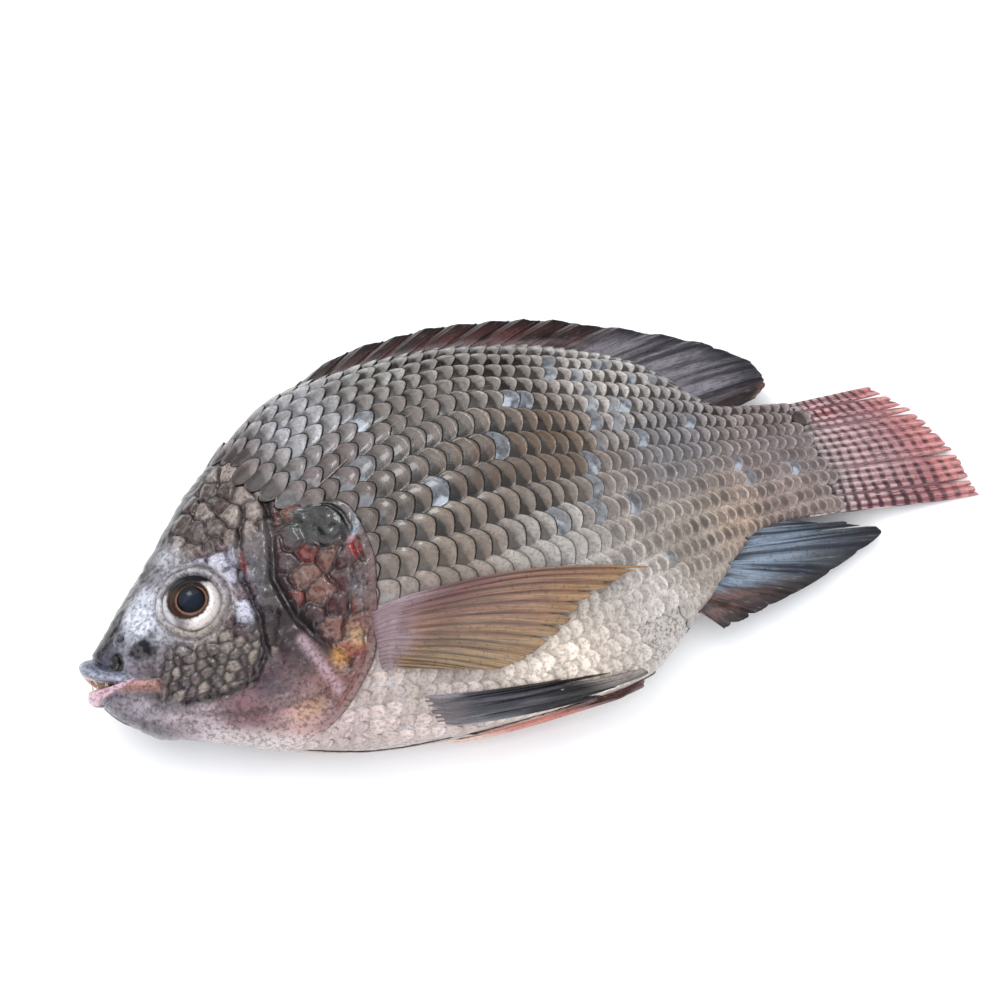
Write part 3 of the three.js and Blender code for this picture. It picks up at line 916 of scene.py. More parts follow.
def paintPlates(tone, a, h, rough):
    for name, mask in plateMasks(a, h).items():
        size, stretch, seed = headPlates[name][:3]
        border, along, chance = plates(*warped(a, h), size, stretch, seed)
        for k, words in enumerate(plateTones[name]):
            tone = paint(tone, words, 0.7 * mask * (np.floor(chance * 3) == k))
        # painted light and shade: each plate is lighter towards its raised rear edge and darker at its
        # front
        tone = tone * (1 + 0.25 * mask * np.clip(along / size, -1, 1) + 0.2 * mask * rough)[..., None]
        # painted shade in the grooves between the plates
        tone = paint(tone, "190f10", 0.92 * mask * smooth(-border, -0.75, -0.1))
    return tone


def paintEyeRim(tone, a, h, rough):
    fromEye = eyeReach(a, h)
    turn = np.arctan2(h - eye["h"], a - eye["a"])
    behind = smooth(np.cos(turn + 0.5), 0.0, 0.7)
    tone = paint(tone, "a09286", 0.62 * bump((fromEye - 11.3) / 2.6) * (0.65 - 0.35 * np.sin(turn)))
    tone = paint(tone, "b4aca8", 0.5 * bump((fromEye - 13.9) / 1.3) * behind * smooth(rough, -0.3, 0.3))
    # painted shade in the groove between the two folds round the eye
    tone = paint(tone, "2e2526", 0.8 * bump((fromEye - 12.6) / 0.7) * smooth(rough, -0.6, 0.2))
    # painted shade in the socket, round the edge of the eyeball
    return paint(tone, "171314", 0.9 * smooth(-fromEye, -eye["opening"] - 0.2, -eye["opening"] + 0.7))


def headTone(a, h):
    tone = blendTones(headTones, a, h)
    rough = grain(a, h, 6.0, 11) * 0.5 + grain(a, h, 2.2, 13) * 0.3 + grain(a, h, 0.9, 15) * 0.3
    tone = paintPlates(tone * (1 + 0.42 * rough[..., None]), a, h, rough)

    below = topAt(a) - h
    streak = 0.5 + 0.5 * grain(a + 0.8 * h, 3.5 * (h - a), 7.0, 17)
    ridge = smooth(-below, -10, -5) * smooth(a, 3, 8) * smooth(-a, -66, -46)
    tone = paint(tone, "171415", 0.97 * ridge * (0.72 + 0.3 * streak))
    # pale patches on the brow and before the eye: partly the skin's own silver, partly painted highlight
    tone = paintSpots(tone, foreheadPaleAndSheen, a, h, rough)
    tone = paint(tone, "18171c", 0.97 * smooth(-awayFrom(a, h, eyeMark) + 0.45 * rough, -1, -0.55))
    tone = paint(tone, "39424f", 0.8 * bump(awayFrom(a, h, (26, 0.5, 4, 3))))
    # painted shade in the hollows: the pit at the corner of the lips and the nostril
    tone = paint(tone, "0d0b0d", 0.97 * smooth(-awayFrom(a, h, (*lipPit, 3.0, 4.6)), -1, -0.6))
    tone = paint(tone, "120e10", 0.95 * bump(np.hypot(a - nostril[0], h - nostril[1]) / 1.5))
    tone = paintEyeRim(tone, a, h, rough)

    # painted shade along the grooves of the cheek, the gill cover and the jaw
    for path, _, _, width, share in furrows:
        tone = paint(tone, "170e12", share * bump(pathDistance(a, h, path) / width))
    tone = paint(tone, "1d1216", 0.8 * bump(pathDistance(a, h, crescentPath) / 8.5) * (0.85 + 0.5 * rough))
    shine = bump(segmentDistance(a, h, (65, 12), (77, -16)) / 4.5)
    tone = paint(tone, "101316", 0.8 * shine * (0.75 + 0.5 * rough))
    toEnd = headEnd(np.degrees(angleAt(a, h))) - a
    flap = smooth(-toEnd, -9, -3) * smooth(h, -24, -10) * smooth(-h, -14, -4)
    tone = paint(tone, "4a3634", 0.75 * flap * (0.8 + 0.5 * rough))
    blotch = smooth(-awayFrom(a, h, gillBlotch) + 0.3 * rough, -1.08, -0.85)
    tone = paint(tone, "0e1213", 0.97 * blotch)
    # painted highlight: grey-green glints broken over the dark gill blotch
    tone = paint(tone, "434c4b", 0.5 * blotch * smooth(rough, 0.2, 0.5))
    halo = bump((awayFrom(a, h, (90, 17, 11, 10)) - 1.03) / 0.13)
    tone = paint(tone, "9fb2c4", 0.75 * halo * smooth(a, 93, 98))
    tone = paintSpots(tone, gillSpots, a, h, rough)
    tone = paint(tone, "bfa2ac", 0.55 * bump(segmentDistance(a, h, (72, -18), (79, -36)) / 3))
    tone = paint(tone, "6a6b70", 0.6 * bump(awayFrom(a, h, (94, -8, 5, 10))))

    tone = paint(tone, "8f5f58", 0.9 * bump(segmentDistance(a, h, *maxilla[:2]) / 3.1))
    tone = paint(tone, "c9a39e", 0.6 * bump(segmentDistance(a, h, (13, -11), (23, -14.5)) / 1.2))
    aboveBelly = h - bottomAt(a)
    chin = smooth(a, 6, 12) * smooth(-a, -30, -20)
    # painted shade along the underside of the chin, where it turns away from the light
    tone = paint(tone, "3a3338", 0.7 * bump((aboveBelly - 1.5) / 3) * chin)
    return paint(tone, "d8cfcd", 0.6 * bump((aboveBelly - 1) / 5) * smooth(a, 26, 44))


def headColumns():  # column angles, evenly spaced along a ring of the cheek
    angles = np.radians(np.linspace(-180, 180, 2001))
    h, w = shapeAt(np.full(angles.shape, 55.0), angles)
    length = np.concatenate([[0], np.cumsum(np.hypot(np.diff(h), np.diff(w)))])
    even = np.linspace(0, length[-1], head["columns"], endpoint=False)
    return np.interp(even, length, angles)


def gapeLoop(rise):  # where the skin turns in over the lips, for each column's angle above the side
    corner = head["gapeCornerAngle"]
    upper = rise >= corner
    share = np.where(upper, (90 - rise) / (90 - corner), (rise + 90) / (corner + 90))
    startA = np.where(upper, head["upperLip"][0], head["lowerLip"][0])
    startH = np.where(upper, head["upperLip"][1], head["lowerLip"][1])
    a = mix(startA, head["gapeCorner"][0], share ** 1.5)
    h = mix(startH, head["gapeCorner"][1], share)
    return a, h, share


def headSkin(finish):
    phi = headColumns()
    rise = np.degrees(np.arcsin(np.sin(phi)))
    side = np.where(np.cos(phi) >= 0, 1.0, -1.0)
    loopA, loopH, share = gapeLoop(rise)
    loopAngle = angleAt(loopA, loopH)
    loopAngle = np.where(share < 0.02, np.radians(rise), loopAngle)
    end = headEnd(rise)

    along = np.linspace(0, 1, head["rings"]) ** 1.3
    a = mix(loopA[None], end[None], along[:, None])
    turned = smooth((a - loopA) / (head["settledFrom"] - loopA))
    elevation = mix(loopAngle[None], np.radians(rise)[None], turned)
    h, w = shapeAt(a, elevation)
    skin = settle(a, h, side * w, np.where(side < 0, 0.5, 0.0))

    fromLip = np.cumsum(np.linalg.norm(np.diff(skin, axis=0, prepend=skin[:1]), axis=-1), 0) / mm
    lipFullness = np.where(rise > head["gapeCornerAngle"], 1.0, 0.85)
    lipFullness = lipFullness * (0.35 + 0.65 * smooth(1 - share, 0, 0.25))
    lip = np.sin(np.clip(fromLip / head["lipWidth"], 0, 1) * math.pi) * head["lipHeight"] * lipFullness
    lip -= 0.8 * bump((fromLip - head["lipWidth"] - 0.6) / 1.2) * smooth(-a, -16, -8)
    beforeEnd = end[None] - a
    relief = headRelief(a, h) * smooth(a, 1, 14) * smooth(beforeEnd, -1, 3) + lip
    lift = endLift(rise)[None]
    relief += lift * np.where(lift > 0, smooth(-beforeEnd, -20, -1), smooth(-beforeEnd, -16, -2))
    relief = relief - 0.5 * bump((beforeEnd - 3.4) / 1.3) * (lift > 1)
    normal = slopesOf(skin, True)
    skin = skin + normal * relief[..., None] * mm

    tone = headTone(a, h)
    upper = (rise > head["gapeCornerAngle"])[None]
    onLip = smooth(-fromLip, -6.6, -5.2)
    tone = paint(tone, "686c7e", onLip * upper * (1 + 0.25 * grain(a, h, 2.5, 21)))
    # painted highlight along the crest of the upper lip
    tone = paint(tone, "a9aab8", 0.6 * upper * bump((fromLip - 3.4) / 1.6))
    tone = paint(tone, "c4a0ad", onLip * ~upper * (1 + 0.2 * grain(a, h, 2.5, 23)))
    tone = paint(tone, "8e5247", 0.85 * bump(fromLip / 1.9) * (a < 14))
    edge = (lift > 1) * smooth(-beforeEnd, -3.0, -1.6)
    tone = paint(tone, "7a6a6a", 0.5 * edge * (0.6 + 0.4 * grain(a, h, 3, 27)))

    depth = np.linspace(1, 0, head["mouthRings"], endpoint=False)[:, None]
    startH, startW = shapeAt(loopA, loopAngle)
    backA, backH = head["mouthBack"]
    inA = mix(loopA, backA, depth ** 1.2)
    inH = mix(startH, backH, depth ** 0.8 * 0.9)
    inW = startW * side * (1 - depth ** 2 * 0.9) * 0.94
    cavity = settle(inA, inH, inW)
    # painted shade: the inside of the mouth darkens from orange-brown to near black towards the back
    mouthShade = smooth(depth, 0.1, 0.7)[..., None]
    cavityTone = mix(colour("a4542a"), colour("34150f"), mouthShade) * np.ones(cavity.shape)

    rear = []
    for back, drop in head["folds"]:
        foldH, foldW = shapeAt(end + back, np.radians(rise))
        ring = settle(end + back, foldH, side * foldW, np.where(side < 0, 0.5, 0.0))
        rear.append(ring + normal[-1] * (endLift(rise) * (drop > 0) * drop + min(drop, 0))[:, None] * mm)
    rear = np.stack(rear)
    points = np.concatenate([cavity, skin, rear])
    # painted shade: the skin folding in under the free edge of the gill cover is 30% darker
    tones = np.concatenate([cavityTone, tone, np.repeat(tone[-1:] * 0.7, len(head["folds"]), 0)])
    piece = loftPiece("head_skin", points, tones, finish)
    keepAbove(piece)
    return piece


def skinFinish(name, grainSize=700.0):
    coat = Finish(name)
    tone = coat.attribute("tone", "Color")
    spot = coat.place()
    fine = coat.noise(spot, grainSize, 5, 0.68)
    broad = coat.noise(spot, 170, 3, 0.6, 0.6)
    dark = coat.blend(coat.step(fine, 0.55, 0.38) * 0.6, tone, (0.018, 0.012, 0.014))
    milky = coat.step(broad, 0.54, 0.68) * coat.step(fine, 0.46, 0.6) * 0.13
    pale = coat.blend(milky, dark, (0.60, 0.58, 0.62))
    return coat.finish({
        "Base Color": pale, "Roughness": coat.step(broad, 0.35, 0.65, 0.18, 0.40),
        "Coat Weight": 0.45, "Coat Roughness": 0.08, "Specular IOR Level": 0.25,
    }, fine + broad * 0.7, 0.6, 0.3)


# fins
# share of the fin's base, root a, tip a, tip h
dorsalRays = [
    (0, 80, 89, 79.5), (0.12, 100, 122, 89.5), (0.25, 120, 144, 89.5), (0.4, 145, 170, 86),
    (0.53, 165, 191, 81), (0.64, 182, 208, 74.5), (0.75, 200, 230, 65), (0.83, 212, 246, 57),
    (0.89, 222, 259, 46.5), (0.94, 230, 262, 38.5), (1, 239, 256, 32)]
analRays = [
    (0, 203, 211, -49.5), (0.2, 210, 231, -46), (0.4, 217, 254, -40.5), (0.6, 223, 281, -29.5),
    (0.8, 229, 271, -24.5), (1, 236, 255, -20.5)]
# share of the base, root a, root h, tip a, tip h
tailRays = [
    (0, 262.5, 24.5, 299, 25), (0.25, 264.5, 14, 311, 12.5), (0.5, 265.5, 3, 318, -1),
    (0.75, 264.5, -8, 322, -14), (1, 262.5, -18.5, 322, -26)]
pectoralRays = [
    (0, 100, -16, 191, -28), (0.12, 100, -18.5, 181, -29.5), (0.25, 99.7, -21, 168, -32.5),
    (0.4, 99.3, -24, 158, -39), (0.55, 99, -27, 148, -44.5), (0.75, 98.5, -31, 132, -46.5),
    (1, 98, -35, 114, -42)]
# share of the base, root a, root angle, tip a, tip angle, in degrees round the belly
pelvicRays = [
    (0, 106, -55, 150, -63), (0.35, 107, -60, 178, -71), (0.6, 108, -66, 184, -76), (1, 109, -72, 160, -82)]

# thick and thin: at the root and at the edge; fold: how far the web waves between rays; girth: of a ray
# slits, wave, teeth and cuts shape the free edge; a cut is its place, its depth and its width in rays
fins = {
    "dorsal": {
        "rays": 29, "spines": 17, "thick": 2.0, "thin": 0.7, "fold": 0.4, "girth": 0.7, "sag": 5.0,
        "edge": {"slits": 0.06, "wave": 0.03, "seed": 3, "teeth": 0.02, "cuts": [(0.62, 0.06, 0.6)]}},
    "anal": {
        "rays": 13, "spines": 3, "thick": 2.0, "thin": 0.7, "fold": 0.5, "girth": 0.5, "sag": 2.0,
        "edge": {"slits": 0.14, "wave": 0.05, "seed": 5, "cuts": [(0.7, 0.42, 0.45)]}},
    "tail": {
        "rays": 17, "spines": 0, "thick": 5.0, "thin": 0.7, "fold": 0.3, "girth": 0.45, "sag": 0.0,
        "along": 115, "edge": {"slits": 0.34, "wave": 0.05, "seed": 8, "cuts": [(0.62, 0.22, 0.3)]}},
    "pectoral": {
        "rays": 15, "spines": 0, "thick": 2.2, "thin": 0.7, "fold": 0.35, "girth": 0.36, "bow": 3.6,
        "swell": 1.1, "edge": {"slits": 0.16, "wave": 0.07, "seed": 9}},
    "pelvic": {
        "rays": 6, "spines": 1, "thick": 2.0, "thin": 0.8, "fold": 0.9, "girth": 0.5,
        "edge": {"slits": 0.2, "wave": 0.08, "seed": 13, "cuts": [(0.3, 0.3, 0.5)]}},
}
finGrid = {"perRay": 8, "along": 60}
finFloor = 0.6  # how far a fin stays above the table
rootSink = 3.0  # how deep a fin's root sits in the flesh


def medianPlace(table, sag):  # the middle surface of a fin in the fish's middle plane
    rootA, rootH, tipA, tipH = columns(table)

    def place(s, t):
        a = mix(rootA(s), tipA(s), t)
        h = mix(rootH(s), tipH(s), t)
        return settle(a, h, -sag * t * t, finFloor)

    return place


def fleshyBase(s, t):
    return smooth(-t, -0.17, -0.09) * smooth(np.minimum(s, 1 - s), 0, 0.2)


def finSheet(name, look, place, edge, tone, finish):
    # place(s, t) is the middle surface, edge(s) how far along the fin reaches at s
    rays = look["rays"]
    s1 = np.linspace(0, 1, rays * finGrid["perRay"] + 1)
    t1 = np.linspace(0, 1, look.get("along", finGrid["along"])) ** 0.9
    s, t = np.meshgrid(s1, t1, indexing="ij")
    t = t * edge(s)
    middle = place(s, t)
    normal = slopesOf(middle)
    phase = s * rays * math.pi
    middle = middle + normal * (look["fold"] * np.cos(phase) * smooth(t, 0, 0.35))[..., None] * mm
    ridge = mix(np.abs(np.cos(phase)), np.abs(np.cos(2 * phase)), smooth(t, 0.35, 0.75)) ** 3
    half = mix(look["thick"], look["thin"], smooth(t, 0, 0.45)) / 2 * (0.45 + 0.55 * ridge)
    half = half + look.get("swell", 0) * fleshyBase(s, t)
    half = half * (smooth(np.minimum(s, 1 - s) * rays, 0, 0.5) * 0.7 + 0.3)
    upper = middle + normal * half[..., None] * mm
    lower = middle - normal * half[..., None] * mm

    rows, cols = s.shape
    count = rows * cols
    faces = gridFaces(rows, cols)
    rim = [i * cols for i in range(rows)]
    rim += [(rows - 1) * cols + j for j in range(1, cols)]
    rim += [i * cols + cols - 1 for i in range(rows - 2, -1, -1)]
    rim += list(range(cols - 2, 0, -1))
    walls = [[rim[k], rim[k - 1], rim[k - 1] + count, rim[k] + count] for k in range(len(rim))]
    local = np.stack([s * rays, t, s], -1).reshape(-1, 3)
    points = np.concatenate([upper.reshape(-1, 3), lower.reshape(-1, 3)])
    tones = opaque(np.concatenate([tone(s, t).reshape(-1, 3)] * 2))
    attributes = {"fin": np.concatenate([local, local]), "tone": tones}
    allFaces = faces.tolist() + (faces[:, ::-1] + count).tolist() + walls
    piece = turnOutwards(makePiece(name, points, allFaces, attributes, finish))
    keepAbove(piece)
    return piece


def rayRecipe():  # tubes that follow the lines they are given and grow thin as the lines say
    tree = Recipe("fin_rays", {"Sides": "Int", "Material": "Material"})
    line = tree.make("GeometryNodeMeshToCurve", inputs={"Mesh": tree.given("Geometry")})
    girth = tree.named("girth", "FLOAT")
    line = tree.make("GeometryNodeSetCurveRadius", inputs={"Curve": line, "Radius": girth})
    ring = tree.make("GeometryNodeCurvePrimitiveCircle", inputs={
        "Resolution": tree.given("Sides"), "Radius": 1.0})
    node = tree.nodes.new("GeometryNodeCurveToMesh")
    tree.links.new(line.socket, node.inputs["Curve"])
    tree.links.new(ring.socket, node.inputs["Profile Curve"])
    node.inputs["Fill Caps"].default_value = True
    if "Scale" in node.inputs:
        tree.links.new(girth.socket, node.inputs["Scale"])
    tube = Wire(tree, node.outputs["Mesh"])
    shaded = tree.make("GeometryNodeSetShadeSmooth", inputs={"Geometry": tube})
    tree.end(tree.make("GeometryNodeRealizeInstances", inputs={"Geometry": shaded}))
    return tree


def rayLines(name, lines):  # lines: points, girths in millimetres and colours
    points, edges, girths, tones = [], [], [], []
    for line, girth, tone in lines:
        start = len(points)
        points.extend(line)
        girths.extend(girth * mm)
        tones.extend(tone)
        edges.extend((start + i, start + i + 1) for i in range(len(line) - 1))
    attributes = {"girth": np.array(girths), "tone": opaque(np.array(tones))}
    return makePiece(name, np.array(points), [], attributes, edges=edges)


def finRays(name, look, place, edge, tone, recipe, finish):
    lines = []
    for k in range(look["rays"] + 1):
        s = k / look["rays"]
        spiny = k < look["spines"]
        far = min(edge(np.array([s]))[0] * (1.02 if spiny else 0.97), 1.03)
        t = np.linspace(0.0, far, 18)
        across = np.full(t.shape, s)
        girth = look["girth"] * mix(1.0, 0.22, (t / far) ** 0.8) * (1.15 if spiny else 0.8)
        lines.append((place(across, t), girth, tone(across, t) * (1.25 if spiny else 1.15)))
    piece = recipe.run(rayLines("ray_lines", lines), name, {"Sides": 6, "Material": finish})
    turnOutwards(piece)
    keepAbove(piece)
    return piece


def finFinish(name, streak=1.0):
    coat = Finish(name)
    tone = coat.attribute("tone", "Color")
    lines = coat.noise(coat.stretched(coat.attribute("fin", "Vector"), 2.6, 1.6, 0.0), 3.0, 4, 0.6)
    fine = coat.noise(coat.place(), 650, 4, 0.6)
    streaked = coat.blend(coat.step(lines, 0.55, 0.36) * 0.5 * streak, tone, (0.02, 0.014, 0.014))
    pale = coat.blend(coat.step(lines, 0.56, 0.74) * 0.22 * streak, streaked, (0.50, 0.44, 0.42))
    spotted = coat.blend(coat.step(fine, 0.5, 0.34) * 0.3, pale, (0.05, 0.03, 0.03))
    return coat.finish({
        "Base Color": spotted, "Roughness": coat.step(fine, 0.3, 0.7, 0.26, 0.46),
        "Coat Weight": 0.3, "Coat Roughness": 0.15,
    }, lines + fine * 0.5, 0.5, 0.25)


def raggedEdge(rays, slits, wave, seed, teeth=0.0, cuts=(), slitWidth=0.2):
    # the free edge: slits of random depth between rays, a slight wave, spine tips, and deep cuts
    depths = slits * np.random.default_rng(seed).uniform(0, 1, rays + 1) ** 2

    def edge(s):
        place = s * rays
        gap = np.clip(np.floor(place), 0, rays - 1)
        inGap = place - gap
        reach = 1 - depths[gap.astype(int)] * bump((inGap - 0.5) / slitWidth) - teeth * (1 - inGap) ** 2
        reach = reach - wave * (0.5 + 0.5 * grain(place, 0 * place, 1.7, seed))
        for where, deep, width in cuts:
            reach = reach - deep * bump((s - where) * rays / width)
        return np.clip(reach, 0.2, 1)

    return edge


def tailTone(s, t):
    onRay = smooth(np.abs(np.cos(s * fins["tail"]["rays"] * math.pi)), 0.5, 0.95)
    base = mix(colour("968d90"), colour("986e72"), smooth(t, 0.10, 0.4)[..., None])
    base = mix(base, colour("b56e70"), smooth(t, 0.5, 0.9)[..., None])
    base = paint(base, "97343d", 0.75 * bump((s - 0.13) / 0.16) * bump((t - 0.42) / 0.28))
    lowerHalf = smooth(s, 0.62, 0.95) * smooth(t, 0.15, 0.4) * smooth(-t, -0.95, -0.7)
    base = paint(base, "76313c", 0.6 * lowerHalf)
    base = paint(base, "e0d0cd", 0.55 * onRay * smooth(-t, -0.95, -0.3))
    wave = 15 * t ** 0.82 + 0.10 * np.sin(s * 11) + 0.12 * grain(s * 14, t * 12, 1.0, 33)
    bars = smooth(np.sin(2 * math.pi * wave), -0.1, 0.55)
    bars = bars * smooth(t, 0.05, 0.14) * smooth(-t, -1.05, -0.85)
    broken = onRay * smooth(s, 0.1, 0.3) * smooth(-s, -0.85, -0.7)
    base = paint(base, "3a1f29", 0.9 * bars * (1 - 0.5 * broken))
    return paint(base, "e3a9a2", 0.55 * onRay * smooth(t, 0.7, 0.95))


def dorsalTone(s, t):
    soft = smooth(s, 0.62, 0.74)
    streak = grain(s * 58, t * 1.6, 1.0, 41)
    spiny = mix(colour("3d1f1c"), colour("191011"), smooth(t, 0.55, 1.0)[..., None])
    spiny = paint(spiny, "582d28", 0.6 * smooth(streak, 0.15, 0.7) * smooth(-t, -0.9, -0.5))
    spiny = paint(spiny, "180f11", 0.85 * smooth(-streak, 0.1, 0.6))
    pale = smooth(-t, -0.52, -0.3) * smooth(grain(s * 60, t * 6, 1.4, 43), -0.6, 0.2)
    spiny = paint(spiny, "736063", 0.75 * pale)
    spiny = paint(spiny, "1a1416", 0.75 * smooth(-s, -0.24, -0.08) * smooth(t, 0.3, 0.5))
    rear = mix(colour("736f77"), colour("3e3d45"), smooth(t, 0.4, 0.9)[..., None])
    rear = paint(rear, "1c1b21", 0.8 * smooth(grain(s * 110, t * 1.2, 1.0, 45), 0.0, 0.6))
    rear = paint(rear, "18171c", 0.7 * smooth(t, 0.8, 0.95) * smooth(-s, -0.92, -0.85))
    rear = paint(rear, "291916", 0.85 * smooth(s, 0.92, 0.97))
    rear = paint(rear, "8e6f66", 0.6 * smooth(s, 0.93, 0.98) * smooth(t, 0.8, 0.95))
    return mix(spiny, rear, soft[..., None])


def analTone(s, t):
    front = mix(colour("644641"), colour("281f20"), smooth(t, 0.35, 0.9)[..., None])
    front = paint(front, "261d1e", 0.7 * smooth(grain(s * 30, t * 7, 1.0, 53), 0.0, 0.5))
    rear = mix(colour("7b8a9b"), colour("464b53"), smooth(t, 0.3, 0.75)[..., None])
    rear = paint(rear, "192333", 0.85 * smooth(grain(s * 44, t * 1.5, 1.0, 51), -0.05, 0.5))
    rear = paint(rear, "1f2025", 0.7 * smooth(t, 0.72, 0.95))
    base = mix(front, rear, smooth(s - 0.25 * t, 0.08, 0.22)[..., None])
    return paint(base, "837879", 0.55 * smooth(s, 0.78, 0.9) * smooth(-t, -0.6, -0.2))


def pectoralTone(s, t):
    base = mix(colour("734b40"), colour("7d694c"), smooth(s, 0.25, 0.8)[..., None])
    base = paint(base, "683d40", 0.8 * smooth(-s, -0.4, -0.05) * smooth(-t, -0.8, -0.4))
    base = paint(base, "986436", 0.45 * bump((t - 0.24) / 0.14) * smooth(s, 0.2, 0.5))
    base = paint(base, "896840", 0.7 * smooth(t, 0.72, 0.95))
    base = paint(base, "8f7a82", 0.85 * smooth(-t + 0.07 * grain(s * 14, 0 * t, 1.0, 57), -0.30, -0.08))
    rays = smooth(np.abs(np.cos(s * fins["pectoral"]["rays"] * math.pi)), 0.1, 0.9)
    base = paint(base, "38201c", 0.65 * (1 - rays) * smooth(t, 0.12, 0.25) * smooth(-t, -0.97, -0.6))
    streak = smooth(grain(s * 45, t * 2.5, 1.0, 59), 0.15, 0.7)
    base = paint(base, "462822", 0.6 * streak * smooth(t, 0.2, 0.35))
    return paint(base, "b4946c", 0.3 * rays * smooth(t, 0.3, 0.6))


def pelvicTone(s, t):
    base = mix(colour("3b3c44"), colour("17171b"), smooth(t, 0.25, 0.7)[..., None])
    streak = smooth(grain(s * 9, t * 4, 1.0, 61), 0.0, 0.6)
    base = paint(base, "7f8088", 0.65 * streak * smooth(-t, -0.75, -0.2))
    pale = bump((s - 0.45) / 0.3) * smooth(t, 0.62, 0.8) * smooth(-t, -1.0, -0.9)
    base = paint(base, "c9bdb6", 0.8 * pale)
    return paint(base, "77686a", 0.6 * smooth(-t, -0.2, -0.03))


def redPelvicTone(s, t):
    base = mix(colour("d6b8ad"), colour("c0786a"), smooth(t, 0.15, 0.5)[..., None])
    return paint(base, "3a3436", 0.85 * smooth(t, 0.65, 0.9))


# eyes
eyeLook = {"rings": 40, "turns": 96, "pupil": 4.6, "ring": 5.2, "iris": 7.0, "white": 9.8}


def eyeBall(side, name, finish):
    radius = np.linspace(0, 1, eyeLook["rings"])[1:-1]
    turn = np.linspace(0, 2 * math.pi, eyeLook["turns"], endpoint=False)
    r, angle = np.meshgrid(radius, turn, indexing="ij")
    domes = []
    for face in (1, -1):
        dome = face * eye["depth"] * np.sqrt(1 - r * r)
        if face > 0:
            reach = r * eye["radius"]
            dome = dome - 0.45 * smooth(reach, eyeLook["pupil"] - 0.2, eyeLook["pupil"] + 0.5)
            dome += 0.22 * bump((reach - eyeLook["iris"] - 0.2) / 0.9)
            dome += 0.05 * np.sin(angle * 46) * bump((reach - 6.2) / 1.6)
            dome -= 0.35 * bump((reach - eyeLook["white"]) / 0.7)
        out = r * eye["radius"]
        domes.append(np.stack([out * np.cos(angle), out * np.sin(angle), dome], -1))
    rim = np.stack([eye["radius"] * np.cos(turn), eye["radius"] * np.sin(turn), 0 * turn], -1)[None]
    solid, faces = closeRings(np.concatenate([domes[0], rim, domes[1][::-1]]))
    solid[-2] = (0, 0, eye["depth"])
    solid[-1] = (0, 0, -eye["depth"])
    centre = settleBare(eye["a"], eye["h"], side * eye["w"], -99)
    roll = fish["roll"]
    outward = np.array([0, -math.sin(roll), math.cos(roll)]) * side
    upward = np.array([0, math.cos(roll), math.sin(roll)])
    forward = np.array([1.0, 0, 0])
    world = centre + solid[:, :1] * forward + solid[:, 1:2] * upward + solid[:, 2:] * outward
    dial = np.stack([solid[:, 0], solid[:, 1], np.where(solid[:, 2] > -0.01, 1.0, 0.0)], -1)
    piece = makePiece(name, (world + snoutShift) * mm, faces, {"dial": dial}, finish)
    return turnOutwards(piece)


def eyeFinish():
    coat = Finish("clear wet eye")
    dial = coat.attribute("dial", "Vector")
    x, y, _ = coat.parts(dial)
    reach = coat.make("ShaderNodeMath", {"operation": "SQRT"}, {0: x * x + y * y * 1.08})
    cloudy = coat.noise(coat.stretched(dial, 1, 1, 0), 0.9, 4, 0.6)
    spokes = coat.noise(coat.stretched(dial, 3, 3, 0), 1.4, 3)
    uneven = reach + (cloudy - 0.5) * 1.1
    # painted shadow of the upper lid: the top of the iris and of the white ring is darkened
    lidShadow = coat.step(y + (cloudy - 0.5) * 4, 4.2, 6.2)
    brown = coat.blend(coat.step(spokes, 0.45, 0.65) * 0.5, (0.022, 0.011, 0.008), (0.09, 0.045, 0.028))
    brown = coat.blend(lidShadow, brown, (0.006, 0.006, 0.008))
    # painted light: the white ring is brighter towards its lower rear side and greyer on the far side
    lit = coat.step(x * 0.85 - y * 0.6 + cloudy * 2, 0.5, 5.5)
    white = coat.blend(lit, (0.20, 0.18, 0.18), (0.70, 0.64, 0.62))
    white = coat.blend(coat.step(x + cloudy, -5.5, -7.5) * 0.8, white, (0.50, 0.50, 0.52))
    white = coat.blend(coat.step(cloudy, 0.44, 0.30) * 0.7, white, (0.13, 0.09, 0.085))
    white = coat.blend(lidShadow, white, (0.012, 0.010, 0.012))
    edge = uneven + x * 0.14 - y * 0.12
    iris = coat.blend(coat.step(edge, eyeLook["iris"] - 0.5, eyeLook["iris"] + 0.4), brown, white)
    ring = coat.step(reach, eyeLook["pupil"] - 0.1, eyeLook["pupil"] + 0.2)
    ring = ring * coat.step(uneven, eyeLook["ring"] + 0.3, eyeLook["ring"] - 0.2)
    ring = ring * coat.step(y, 4.4, 3.0)
    ringed = coat.blend(ring * 0.6, iris, (0.26, 0.14, 0.10))
    pupil = coat.blend(coat.step(reach, 4.3, 2.2), (0.0015, 0.002, 0.004), (0.003, 0.007, 0.018))
    seen = coat.blend(coat.step(reach, eyeLook["pupil"] + 0.2, eyeLook["pupil"] - 0.1), ringed, pupil)
    outer = coat.step(reach, eyeLook["white"] - 0.3, eyeLook["white"] + 0.3)
    rimmed = coat.blend(outer, seen, (0.10, 0.075, 0.07))
    return coat.finish({
        "Base Color": rimmed, "Roughness": coat.step(reach, 4.2, 5.2, 0.5, 0.35), "Coat Weight": 0.2,
        "Coat Roughness": 0.03, "Specular IOR Level": 0.08})


